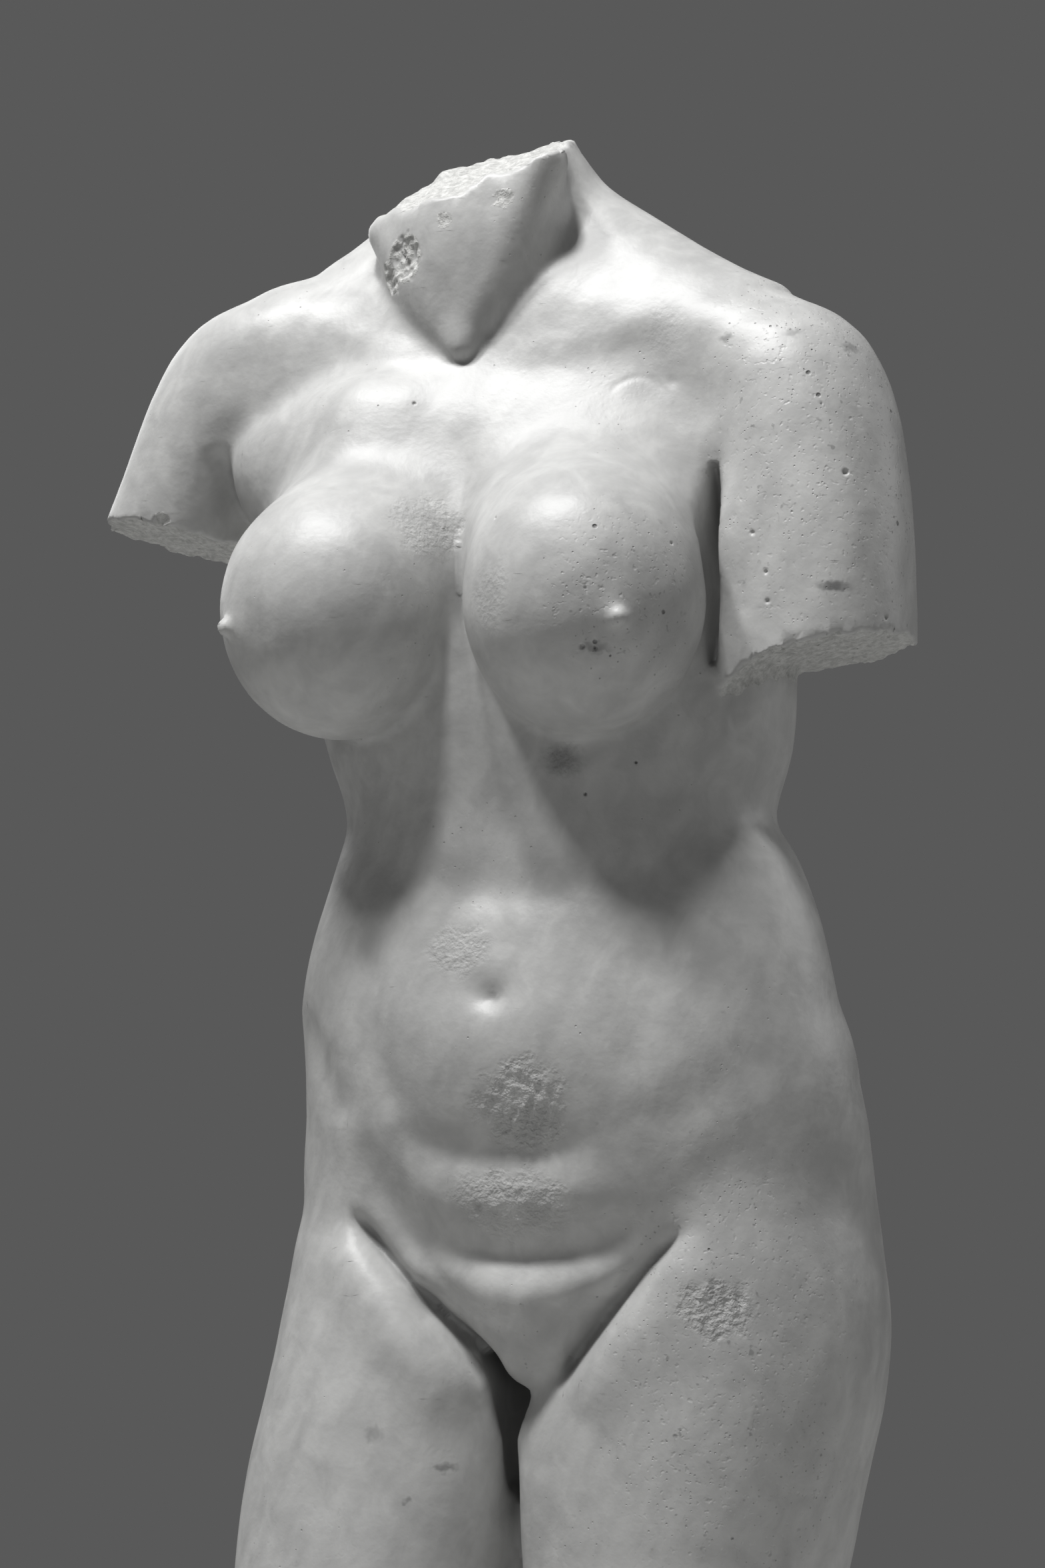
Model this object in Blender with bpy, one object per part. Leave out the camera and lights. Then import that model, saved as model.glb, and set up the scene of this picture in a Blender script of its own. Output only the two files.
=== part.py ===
"""An antique marble figure of a standing woman, broken at the neck and at both upper arms.

The figure and the thin ground slab under its feet are one block of marble.
The slab is let into a shallow bed in a low rectangular base, a second block.
Metres, +Z up. The figure faces -Y, and its own left side is at +X.
The origin is the middle of the base's underside.
"""

import bpy
import bmesh
import numpy as np

# Driving sizes, in metres
FIGURE_HEIGHT = 1.65
BASE_WIDTH = 0.56
BASE_DEPTH = 0.44
BASE_HEIGHT = 0.09
BASE_EDGE = 0.006
BED_DEPTH = 0.025
BED_GAP = 0.002
SETTING_GAP = 0.0003
SLAB_WIDTH = 0.38
SLAB_DEPTH = 0.33
SLAB_THICKNESS = 0.05
SLAB_X = 0.010
SLAB_Y = -0.022
FIGURE_X = 0.022
SOLE_HEIGHT = BASE_HEIGHT - BED_DEPTH + SETTING_GAP + SLAB_THICKNESS

# The carver's small unit: 1650 of them made the whole figure, sole to crown, when it had its head.
# Every proportion below is a count of these units, measured from the soles.
UNIT = FIGURE_HEIGHT / 1650
CELL = 9.0
FACES = 8600


def smooth_min(a, b, r):
    """Joins two forms with a fillet of about r."""
    h = np.clip(0.5 + 0.5 * (b - a) / r, 0, 1)
    return b + (a - b) * h - r * h * (1 - h)


def smooth_max(a, b, r):
    """What two forms share, with the edge rounded by about r."""
    return -smooth_min(-a, -b, r)


def read_table(rows, at):
    """Reads a table of stations at the given heights, on a smooth curve through every row."""
    rows = np.asarray(rows, np.float32)
    knots, values = rows[:, 0], rows[:, 1:]
    slopes = np.gradient(values, knots, axis=0)
    i = np.clip(np.searchsorted(knots, at) - 1, 0, len(knots) - 2)
    gap = (knots[i + 1] - knots[i])[:, None]
    t = np.clip((at - knots[i])[:, None] / gap, 0, 1)
    start = (1 + 2 * t) * (1 - t) ** 2 * values[i] + t * (1 - t) ** 2 * gap * slopes[i]
    return start + t * t * (3 - 2 * t) * values[i + 1] - t * t * (1 - t) * gap * slopes[i + 1]


def column(p, rows, cap=20.0):
    """A limb or trunk from its stations.

    Each is (height, centre x, centre y, reach to the right, left, front and back, squareness)."""
    x, y, z = p.T
    cx, cy, right, left, front, back, square = read_table(rows, z).T
    dx, dy = x - cx, y - cy
    a = np.where(dx < 0, right, left)
    b = np.where(dy < 0, front, back)
    reach = (np.abs(dx / a) ** square + np.abs(dy / b) ** square) ** (1 / square)
    reach = np.maximum(reach, 0.05)
    side = np.hypot(dx, dy) * (1 - 1 / reach)
    ends = np.maximum(rows[0][0] - z, z - rows[-1][0])
    return smooth_max(side, ends, cap)


def turn(degrees, axis):
    """A turning matrix about X, Y or Z."""
    a = np.radians(degrees)
    c, s = np.cos(a), np.sin(a)
    i, j = {"x": (1, 2), "y": (2, 0), "z": (0, 1)}[axis]
    m = np.eye(3)
    m[i, i], m[i, j], m[j, i], m[j, j] = c, -s, s, c
    return m


def mass(p, centre, radii, m=None):
    """An egg-shaped mass, turned by the matrix m."""
    q = p - np.asarray(centre, np.float32)
    if m is not None:
        q = q @ np.asarray(m, np.float32)
    radii = np.asarray(radii, np.float32)
    k0 = np.linalg.norm(q / radii, axis=1)
    k1 = np.linalg.norm(q / radii**2, axis=1)
    return k0 * (k0 - 1) / np.maximum(k1, 1e-6)


def bone(p, a, b, ra, rb):
    """A round limb between two points, thick ra at one end and rb at the other."""
    a, b = np.asarray(a, np.float32), np.asarray(b, np.float32)
    along = b - a
    t = np.clip((p - a) @ along / (along @ along), 0, 1)
    return np.linalg.norm(p - a - t[:, None] * along, axis=1) - (ra + (rb - ra) * t)


def local(p, origin, m):
    """Points as seen from a turned frame at the origin."""
    return (p - np.asarray(origin, np.float32)) @ np.asarray(m, np.float32)


def rise(z, start, end):
    """From 0 below start to 1 above end, smoothly."""
    t = np.clip((z - start) / (end - start), 0, 1)
    return t * t * (3 - 2 * t)


def curve(points, steps=4):
    """A smooth line through the given points."""
    rows = [(k, *point) for k, point in enumerate(points)]
    return read_table(rows, np.linspace(0, len(points) - 1, (len(points) - 1) * steps + 1))


def line_distance(p, line):
    """How far each point is from a line of short straight runs, and how far along it, from 0 to 1."""
    nearest = np.full(len(p), 1e9, np.float32)
    where = np.zeros(len(p), np.float32)
    for k, (a, b) in enumerate(zip(line[:-1], line[1:])):
        along = b - a
        t = np.clip((p - a) @ along / max(along @ along, 1e-6), 0, 1)
        away = np.sum((p - a - t[:, None] * along) ** 2, axis=1)
        closer = away < nearest
        nearest[closer] = away[closer]
        where[closer] = k + t[closer]
    return np.sqrt(nearest), where / (len(line) - 1)


FRONT, BACK = -1, 1


def carve(form, p, side, points, width, depth, middle=0.0):
    """Cuts a furrow, or raises a ridge where depth is below zero, along a line on the front or the back.

    The line's points are (across, height); middle is the depth that parts front from back."""
    line = curve(np.asarray(points, np.float32))
    low, high = line.min(0) - 3 * width, line.max(0) + 3 * width
    flat = p[:, [0, 2]]
    near = np.all((flat > low) & (flat < high), axis=1) & (side * (p[:, 1] - middle) > -10)
    if not near.any():
        return
    spot = p[near]
    away, where = line_distance(spot[:, [0, 2]], line)
    share = np.exp(-((away / width) ** 2)) * rise(0.5 - np.abs(where - 0.5), -0.04, 0.22)
    form[near] += depth * share * rise(side * (spot[:, 1] - middle), -10, 25)


def swell(form, p, centre, radii, height):
    """Raises the skin softly around a point, or hollows it where height is below zero."""
    away = np.abs(p - np.asarray(centre, np.float32)) / np.asarray(radii, np.float32)
    near = np.all(away < 2.6, axis=1)
    form[near] -= height * np.exp(-np.sum(away[near] ** 2, axis=1))


def ripple(p, size, seed):
    """A slow, even unevenness between about -1 and 1, with waves of about the given size."""
    rng = np.random.default_rng(seed)
    total = np.zeros(len(p), np.float32)
    for k in range(6):
        way = rng.normal(size=3)
        way *= 2 * np.pi / (size * rng.uniform(0.6, 1.6)) / np.linalg.norm(way)
        total += np.sin(p @ way.astype(np.float32) + rng.uniform(0, 6.3))
    return total / 3


# Stations: height, centre x, centre y, to the right, to the left, front, back, squareness
TRUNK = (
    (752, 37, 12, 10, 10, 20, 30, 2.0),
    (772, 37, 6, 26, 26, 38, 56, 2.0),
    (792, 37, -2, 50, 50, 58, 82, 2.0),
    (815, 38, -8, 80, 80, 78, 106, 2.1),
    (843, 37, -4, 122, 116, 88, 108, 2.2),
    (870, 36, -2, 148, 143, 93, 102, 2.2),
    (899, 36, -2, 159, 158, 97, 93, 2.2),
    (937, 34, -4, 159, 161, 99, 82, 2.2),
    (975, 28, -4, 155, 158, 99, 75, 2.2),
    (1013, 25, -2, 145, 152, 96, 70, 2.2),
    (1051, 24, 1, 133, 139, 91, 71, 2.2),
    (1078, 20, 4, 125, 130, 90, 75, 2.1),
    (1120, 14, 9, 132, 142, 96, 86, 2.1),
    (1170, 9, 14, 144, 148, 104, 94, 2.05),
    (1220, 5, 18, 156, 150, 104, 98, 2.05),
    (1270, 0, 20, 164, 152, 98, 98, 2.1),
    (1310, -6, 22, 152, 142, 84, 92, 2.2),
    (1345, -12, 24, 112, 110, 66, 78, 2.2),
    (1380, -18, 26, 66, 66, 48, 60, 2.0),
)
LEFT_LEG = (
    (30, 56, 28, 24, 24, 30, 34, 2.0),
    (60, 57, 26, 28, 28, 33, 32, 2.0),
    (100, 58, 24, 27, 27, 31, 31, 2.0),
    (150, 61, 21, 30, 31, 33, 37, 2.0),
    (230, 68, 18, 42, 43, 40, 50, 2.1),
    (300, 75, 14, 51, 53, 46, 62, 2.1),
    (350, 80, 8, 53, 54, 48, 64, 2.1),
    (410, 84, 0, 50, 51, 52, 57, 2.2),
    (455, 88, -6, 53, 53, 58, 54, 2.2),
    (500, 91, -6, 61, 60, 63, 63, 2.1),
    (560, 95, -4, 79, 70, 75, 77, 2.05),
    (652, 99, 0, 100, 84, 88, 92, 2.1),
    (709, 106, 2, 112, 88, 93, 98, 2.15),
    (760, 114, 4, 113, 91, 94, 102, 2.15),
    (812, 118, 4, 92, 90, 90, 102, 2.1),
    (861, 120, 2, 74, 77, 78, 94, 2.1),
    (900, 122, 0, 50, 58, 52, 72, 2.1),
    (930, 124, 0, 20, 34, 20, 36, 2.1),
)
RIGHT_LEG = (
    (100, -76, 84, 22, 22, 28, 28, 2.0),
    (135, -76, 74, 27, 27, 31, 31, 2.0),
    (170, -75, 60, 30, 30, 33, 37, 2.0),
    (230, -73, 36, 41, 41, 40, 50, 2.1),
    (300, -71, 6, 51, 50, 46, 62, 2.1),
    (350, -70, -18, 53, 52, 48, 62, 2.1),
    (410, -68, -48, 50, 50, 53, 55, 2.2),
    (455, -67, -66, 53, 53, 58, 54, 2.2),
    (500, -68, -63, 61, 61, 63, 63, 2.1),
    (560, -70, -50, 69, 72, 75, 76, 2.05),
    (652, -71, -30, 82, 80, 88, 90, 2.1),
    (709, -66, -16, 86, 86, 92, 95, 2.15),
    (760, -58, -6, 86, 82, 94, 100, 2.1),
    (812, -52, 0, 84, 84, 88, 100, 2.1),
    (861, -50, 2, 78, 72, 74, 92, 2.1),
    (900, -50, 0, 62, 48, 50, 70, 2.1),
    (930, -52, 0, 30, 20, 20, 36, 2.1),
)
LEFT_ARM = (
    (1120, 176, 0, 57, 52, 58, 56, 2.5),
    (1200, 176, 0, 57, 53, 59, 57, 2.4),
    (1240, 175, 0, 55, 53, 58, 58, 2.2),
    (1266, 172, 1, 52, 54, 57, 58, 2.1),
    (1303, 167, 3, 50, 53, 55, 56, 2.0),
    (1332, 159, 5, 48, 50, 50, 52, 2.0),
    (1350, 153, 7, 42, 43, 42, 46, 2.0),
    (1362, 147, 8, 30, 32, 30, 34, 2.0),
    (1372, 142, 9, 10, 10, 12, 14, 2.0),
)
RIGHT_ARM = (
    (-150, 0, 0, 46, 46, 52, 50, 2.1),
    (-80, 0, 0, 49, 48, 54, 54, 2.1),
    (-40, 0, 0, 51, 50, 55, 56, 2.1),
    (-10, 2, 0, 51, 50, 54, 56, 2.0),
    (18, 7, 0, 43, 47, 49, 52, 2.0),
    (36, 15, 0, 34, 40, 41, 43, 2.0),
    (54, 26, 0, 25, 24, 26, 28, 2.0),
    (66, 34, 0, 8, 8, 8, 8, 2.0),
)
# A foot: along it from the ball, to the little toe's side, then minus the height above the sole
FOOT = (
    (-197, 0, -28, 10, 10, 16, 18, 2.0),
    (-178, 0, -28, 26, 26, 34, 27, 2.2),
    (-142, 0, -37, 30, 30, 44, 37, 2.2),
    (-100, 0, -34, 31, 32, 44, 34, 2.2),
    (-60, 0, -27, 34, 36, 37, 27, 2.3),
    (-23, 1, -19, 40, 42, 26, 19, 2.4),
    (3, 1, -14, 43, 43, 17, 14, 2.5),
    (22, 1, -10, 34, 36, 9, 9, 2.4),
)
TOES = ((-29, 14, 50, 12.5), (-9, 14, 49, 9.0), (7, 12, 42, 8.5), (21, 8, 33, 8.0), (34, 2, 22, 7.5))
LEFT_BALL, LEFT_YAW = (90, -105, 0), 14
RIGHT_BALL, RIGHT_YAW, RIGHT_PITCH = (-94, -8, 0), 12, 25
RIGHT_SHOULDER = (-170, 6, 1352)
ARM_LEAN = 29
SLAB_SQUARENESS = 4.5


def breast(p, centre, radii, splay, nipple):
    form = mass(p, centre, radii, turn(splay, "z"))
    swell(form, p, nipple, (13, 13, 13), 2.0)
    return smooth_min(form, mass(p, nipple, (5.5, 5.5, 5.0)), 4)


def foot(p, ball, yaw, pitch):
    """A left foot turned out by yaw, with its heel raised by pitch about the ball."""
    toe_frame = turn(yaw, "z") @ np.array([[1, 0, 0], [0, 0, -1], [0, -1, 0]])
    form = column(local(p, ball, toe_frame @ turn(-pitch, "x")), FOOT, 8)
    flat = local(p, ball, toe_frame)
    for side, start, end, thick in TOES:
        toe = bone(flat, (side, -thick - 5, start - 24), (side, -thick, end - 12), thick * 1.1, thick)
        form = smooth_min(form, toe, 5)
    return form


def feet(p):
    left = foot(p, LEFT_BALL, LEFT_YAW, 0)
    flipped = p * np.array((-1, 1, 1), np.float32)
    x, y, z = RIGHT_BALL
    right = foot(flipped, (-x, y, z), RIGHT_YAW, RIGHT_PITCH)
    return left, right


def cut_left(p):
    """The left arm's broken face, longest at its inner front corner."""
    x, y, z = p.T
    corner = 16 * np.exp(-(((x - 126) / 24) ** 2)) * rise(-y, -40, 30)
    return 1166 + 0.17 * (x - 175) - corner - z + 1.2 * ripple(p, 30, 3)


def cut_right(p):
    x, y, z = p.T
    return 1257 - 0.2 * (x + 235) - 0.1 * y - z + 1.2 * ripple(p, 30, 4)


def neck_break(p):
    """The broken top of the neck, rising to the back and to the figure's left."""
    x, y, z = p.T
    hump = 7 * np.exp(-(((x + 55) / 34) ** 2) - ((y - 15) / 34) ** 2)
    return z - (1461 + 0.26 * x + 0.44 * y + hump) + 2.0 * ripple(p, 40, 5) + 1.0 * ripple(p, 14, 6)


def figure_form(p):
    """Distance to the figure's skin, below zero inside; p counts the carver's units from the soles."""
    x, y, z = p.T
    form = column(p, TRUNK)
    for hip in ((88, 50, 852), (-14, 48, 842)):
        form = smooth_min(form, mass(p, hip, (72, 70, 94)), 40)
    legs = smooth_min(column(p, LEFT_LEG), column(p, RIGHT_LEG), 5)
    outer = rise(np.abs(x - 37), 60, 130)
    low = rise(-z, -810, -780)
    form = smooth_min(form, legs, 5 + 20 * rise(y, -40, 20) + 26 * outer + 8 * low)
    gap = bone(p * np.array((1, 0.4, 1), np.float32), (18, -14, 766), (11, -14, 712), 17, 2)
    form = smooth_max(form, -smooth_max(gap, z - 773, 3), 3)
    form = smooth_min(form, mass(p, (31, -50, 812), (46, 38, 46)), 12)
    bosom = np.minimum(
        breast(p, (70, -86, 1193), (67, 66, 74), 32, (110, -138, 1175)),
        breast(p, (-75, -86, 1193), (69, 66, 72), -38, (-120, -136, 1180)),
    )
    left = smooth_max(column(p, LEFT_ARM, 10), cut_left(p), 2)
    right = column(local(p, RIGHT_SHOULDER, turn(ARM_LEAN, "y") @ turn(6, "x")), RIGHT_ARM, 10)
    right = smooth_max(right, cut_right(p), 2)
    form = smooth_min(form, bone(p, (-70, -34, 1292), (-132, -14, 1286), 46, 42), 24)
    form = smooth_min(form, left, 6 + 30 * rise(z, 1235, 1310))
    form = smooth_min(form, right, 5 + 30 * rise(z, 1285, 1340))
    form = smooth_min(form, bosom, 7 + 40 * rise(z, 1170, 1250))
    form = smooth_max(form, -mass(p, (129, -42, 1214), (4.5, 22, 58)), 5)
    form = smooth_min(form, bone(p, (14, 28, 1418), (134, 12, 1350), 40, 29), 20)
    form = smooth_min(form, bone(p, (-72, 26, 1408), (-138, 12, 1366), 36, 30), 20)
    form = smooth_min(form, bone(p, (-56, 0, 1362), (-128, 2, 1350), 40, 36), 30)
    form = smooth_min(form, bone(p, (26, 0, 1362), (110, 2, 1342), 40, 36), 30)
    form = smooth_min(form, bone(p, (-20, 34, 1380), (-30, 6, 1510), 46, 46), 24)
    form = smooth_min(form, neck(p), 4 + 18 * rise(y, -25, 25))
    form = smooth_max(form, neck_break(p), 2 + 12 * rise(-x, 50, 95))
    left, right = feet(p)
    form = smooth_min(form, left, 10)
    form = smooth_min(form, right, 10)
    details(form, p)
    return smooth_min(form, slab(p), 5)


def slab(p):
    """The thin ground slab under the feet, its edge roughly dressed above the bed."""
    x, y, z = p.T
    half = np.array((SLAB_WIDTH, SLAB_DEPTH)) / 2 / UNIT
    thick = SLAB_THICKNESS / UNIT
    away = np.abs(np.stack((x - (SLAB_X - FIGURE_X) / UNIT, y - SLAB_Y / UNIT), 1)) / half
    reach = np.maximum((away**SLAB_SQUARENESS).sum(1) ** (1 / SLAB_SQUARENESS), 0.05)
    out = np.linalg.norm(away * half, axis=1) * (1 - 1 / reach)
    out += (4 + 3 * ripple(p, 70, 7) + 1.5 * ripple(p, 22, 8)) * rise(z, -thick + 27, -thick + 42)
    flat = np.abs(z + thick / 2) - thick / 2 + 0.8 * (1 + ripple(p, 60, 9)) * rise(z, -10, 0)
    return smooth_max(out, flat, 5)


def neck(p):
    form = mass(p, (-22, 0, 1408), (60, 60, 90), turn(6, "y"))
    for top, thick in (((26, -36, 1450), 15), ((-72, -26, 1420), 12)):
        form = smooth_min(form, bone(p, (-18, -46, 1346), top, 3, thick), 16)
    return form


PELVIS_X = 38
GROIN_RIGHT = ((-74, 861), (-60, 846), (-39, 825), (-15, 801), (4, 782), (18, 766))
GROIN_LEFT = ((128, 858), (109, 840), (91, 820), (73, 800), (58, 782), (48, 766))
THIGHS_MEET = ((16, 738), (16, 716), (17, 690), (18, 650), (18, 600), (18, 560), (18, 530))
WAIST = (
    (-118, 1086), (-84, 1068), (-57, 1056), (-39, 1047), (-12, 1039), (24, 1035),
    (62, 1036), (92, 1043), (114, 1054), (134, 1066), (152, 1078), (166, 1080),
)
SPINE = ((-22, 1400), (-12, 1330), (0, 1250), (10, 1160), (19, 1080), (28, 1000), (36, 935))
BELLY_FOLD = ((-44, 908), (-16, 897), (9, 892), (32, 892), (59, 896), (82, 906))
LOW_FOLD = ((-62, 905), (-54, 882), (-34, 855), (-4, 841), (29, 837), (63, 843), (90, 853), (108, 868))
ROLL = (
    (-98, 940), (-82, 910), (-66, 886), (-45, 858), (-20, 836),
    (11, 822), (38, 817), (68, 823), (96, 841), (118, 860),
)


def moved(points, across, up):
    return [(x + across, z + up) for x, z in points]


def details(form, p):
    """The carving that shows from a step away."""
    # Belly
    carve(form, p, FRONT, GROIN_RIGHT, 7, 8)
    carve(form, p, FRONT, GROIN_LEFT, 7, 7)
    carve(form, p, FRONT, ((-36, 822), (-16, 802), (0, 787), (14, 772)), 9, 7)
    carve(form, p, FRONT, moved(GROIN_RIGHT, -16, -14), 17, -5)
    carve(form, p, FRONT, moved(GROIN_LEFT, 16, -14), 17, -4)
    carve(form, p, FRONT, THIGHS_MEET, 6, 8)
    carve(form, p, FRONT, WAIST, 14, 3.5, 40)
    swell(form, p, (26, -96, 950), (60, 40, 44), 9)
    carve(form, p, FRONT, BELLY_FOLD, 12, 3.2)
    swell(form, p, (34, -96, 872), (64, 40, 16), 3)
    carve(form, p, FRONT, LOW_FOLD, 14, 6)
    carve(form, p, FRONT, ROLL, 14, -2)
    carve(form, p, FRONT, ((-60, 1020), (-56, 990), (-50, 954), (-43, 929), (-36, 909)), 11, 4)
    carve(form, p, FRONT, ((112, 1020), (108, 990), (103, 955), (96, 925)), 13, 2.0)
    carve(form, p, FRONT, ((6, 1130), (7, 1085), (16, 1048), (25, 1011), (30, 992)), 9, 2.5)
    swell(form, p, (18, -104, 981), (24, 40, 13), -3.5)
    swell(form, p, (24, -104, 977), (8, 40, 6), -4)
    carve(form, p, FRONT, ((172, 958), (156, 941), (137, 926), (120, 913), (108, 900)), 14, 2)
    carve(form, p, FRONT, ((-112, 976), (-98, 948), (-84, 926), (-76, 906)), 11, 3.5)
    # Chest
    carve(form, p, FRONT, ((-12, 1300), (-7, 1271), (-3, 1233), (0, 1195), (4, 1158), (6, 1130)), 13, 3)
    carve(form, p, FRONT, ((8, 1338), (38, 1342), (70, 1348), (100, 1358)), 9, -1.5)
    carve(form, p, FRONT, ((-44, 1342), (-72, 1350), (-104, 1364)), 9, -1.5)
    swell(form, p, (62, -10, 1378), (26, 26, 14), -3)
    swell(form, p, (-92, -10, 1392), (22, 26, 12), -2)
    carve(form, p, FRONT, ((-178, 1300), (-177, 1275), (-174, 1240)), 6, 4, -5)
    # Back
    carve(form, p, BACK, SPINE, 16, 8)
    carve(form, p, BACK, ((37, 915), (37, 870), (37, 820), (37, 775), (37, 750)), 9, 16)
    for x in (-62, 62):
        swell(form, p, (x - 4, 108, 1268), (36, 30, 56), 8)
        swell(form, p, (PELVIS_X + 0.55 * x, 90, 932), (10, 30, 11), -3)
    carve(form, p, BACK, ((44, 784), (70, 772), (102, 770), (138, 786)), 13, 7)
    carve(form, p, BACK, ((30, 776), (4, 764), (-30, 761), (-68, 777)), 13, 7)
    # Knees
    for x, y in ((88, -56), (-67, -118)):
        swell(form, p, (x, y - 8, 470), (22, 24, 26), 6)
        swell(form, p, (x - 31, y + 6, 474), (11, 20, 26), -4)
        swell(form, p, (x + 31, y + 6, 474), (11, 20, 26), -4)
        swell(form, p, (x, y - 2, 420), (14, 20, 16), 3)
    swell(form, p, (88, 52, 470), (20, 20, 40), -5)
    swell(form, p, (-67, -8, 466), (20, 20, 40), -5)
    # Ankles
    for x, y, z in ((27, 22, 74), (88, 32, 66), (-48, 76, 122), (-106, 84, 116)):
        swell(form, p, (x, y, z), (11, 12, 12), 4)


def skin(form, low, high, cell):
    """The surface where the form is zero: points and four-sided faces, one point in each cell it crosses.

    The form is first read on a grid four times coarser, and then only near the surface."""
    block = 4
    count = np.ceil((np.asarray(high) - low) / (cell * block)).astype(int)
    size = count * block + 1
    coarse = np.stack(np.meshgrid(*(np.arange(n + 1) for n in count), indexing="ij"), -1)
    at = (np.asarray(low) + coarse.reshape(-1, 3) * cell * block).astype(np.float32)
    rough = form(at).reshape(count + 1)
    near = np.zeros(count, bool)
    inside = np.zeros(count, bool)
    corners = [(i, j, k) for i in (0, 1) for j in (0, 1) for k in (0, 1)]
    for i, j, k in corners:
        part = rough[i : i + count[0], j : j + count[1], k : k + count[2]]
        near |= np.abs(part) < cell * block * 1.9
        inside |= part < 0
    grid = np.where(rough < 0, -1.0, 1.0).astype(np.float32)
    for axis in range(3):
        grid = np.repeat(grid, block, axis=axis)
    grid = grid[: size[0], : size[1], : size[2]].copy()
    wanted = np.zeros(size, bool)
    for i, j, k in np.argwhere(near):
        wanted[
            i * block : i * block + block + 1,
            j * block : j * block + block + 1,
            k * block : k * block + block + 1,
        ] = True
    index = np.argwhere(wanted)
    grid[wanted] = form((np.asarray(low) + index * cell).astype(np.float32))
    join_corners(grid, cell)
    return surface_net(grid, np.asarray(low), cell)


def join_corners(grid, cell):
    """Fills a grid point wherever the solid would meet itself along a bare edge or at a bare corner."""
    n = np.array(grid.shape) - 1

    def at(array, corner):
        return array[tuple(slice(c, c + m) for c, m in zip(corner, n))]

    while True:
        solid = grid < 0
        fill = np.zeros_like(solid)
        for axis in range(3):
            u, v = np.eye(3, dtype=int)[[(axis + 1) % 3, (axis + 2) % 3]]
            a, b, c, d = (at(solid, k) for k in (u * 0, u, u + v, v))
            at(fill, u)[a & c & ~b & ~d] = True
            at(fill, u * 0)[b & d & ~a & ~c] = True
        corners = [np.array((i, j, k)) for i in (0, 1) for j in (0, 1) for k in (0, 1)]
        count = sum(at(solid, k).astype(np.int8) for k in corners)
        for k in corners[:4]:
            here, far = at(solid, k), at(solid, 1 - k)
            at(fill, k)[(count == 6) & ~here & ~far] = True
            at(fill, np.array((k[0], k[1], 1 - k[2])))[(count == 2) & here & far] = True
        if not fill.any():
            break
        grid[fill] = -0.1 * cell


def surface_net(grid, low, cell):
    n = np.array(grid.shape) - 1
    total = np.zeros((*n, 3), np.float32)
    crossings = np.zeros(tuple(n), np.int32)
    corners = [(i, j, k) for i in (0, 1) for j in (0, 1) for k in (0, 1)]

    def at(i, j, k):
        return grid[i : i + n[0], j : j + n[1], k : k + n[2]]

    for a in corners:
        for axis in range(3):
            if a[axis]:
                continue
            b = tuple(1 if k == axis else v for k, v in enumerate(a))
            fa, fb = at(*a), at(*b)
            cut = (fa < 0) != (fb < 0)
            share = fa[cut] / (fa[cut] - fb[cut])
            where = np.array(a, np.float32)[None] + share[:, None] * np.eye(3, dtype=np.float32)[axis]
            total[cut] += where
            crossings[cut] += 1
    used = crossings > 0
    number = np.full(tuple(n), -1)
    number[used] = np.arange(used.sum())
    points = low + (np.argwhere(used) + total[used] / crossings[used][:, None]) * cell
    faces = []
    for axis in range(3):
        u, v = (axis + 1) % 3, (axis + 2) % 3
        inner = [slice(1, n[k]) for k in range(3)]
        inner[axis] = slice(0, n[axis])
        here = grid[tuple(inner)]
        ahead = list(inner)
        ahead[axis] = slice(1, n[axis] + 1)
        there = grid[tuple(ahead)]
        for out, cut in ((True, (here < 0) & (there >= 0)), (False, (here >= 0) & (there < 0))):
            cell_at = np.argwhere(cut)
            cell_at[:, u] += 1
            cell_at[:, v] += 1
            ring = []
            for du, dv in ((-1, -1), (0, -1), (0, 0), (-1, 0)):
                c = cell_at.copy()
                c[:, u] += du
                c[:, v] += dv
                ring.append(number[tuple(c.T)])
            ring = np.stack(ring, 1)
            faces.append(ring if out else ring[:, ::-1])
    return points, np.concatenate(faces)


def largest_piece(points, faces):
    """Keeps the one shell that has the most faces, and drops any small hollow sealed inside it."""
    label = np.arange(len(points))
    while True:
        lowest = label[faces].min(1)
        after = label.copy()
        np.minimum.at(after, faces.ravel(), np.repeat(lowest, 4))
        after = after[after]
        if (after == label).all():
            break
        label = after
    kept = label == np.bincount(label).argmax()
    number = np.cumsum(kept) - 1
    return points[kept], number[faces[kept[faces[:, 0]]]]


def settle(form, points, rounds=2):
    """Moves each point straight onto the skin, except in the bottom of a sharp fold."""
    points = points.astype(np.float32)
    steps = np.eye(3, dtype=np.float32)
    for _ in range(rounds):
        slope = np.stack([form(points + step) - form(points - step) for step in steps], 1) / 2
        steepness = (slope**2).sum(1)
        share = rise(steepness, 0.35, 0.75) / np.maximum(steepness, 0.3)
        points -= (np.clip(form(points), -2, 2) * share)[:, None] * slope
    return points


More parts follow.
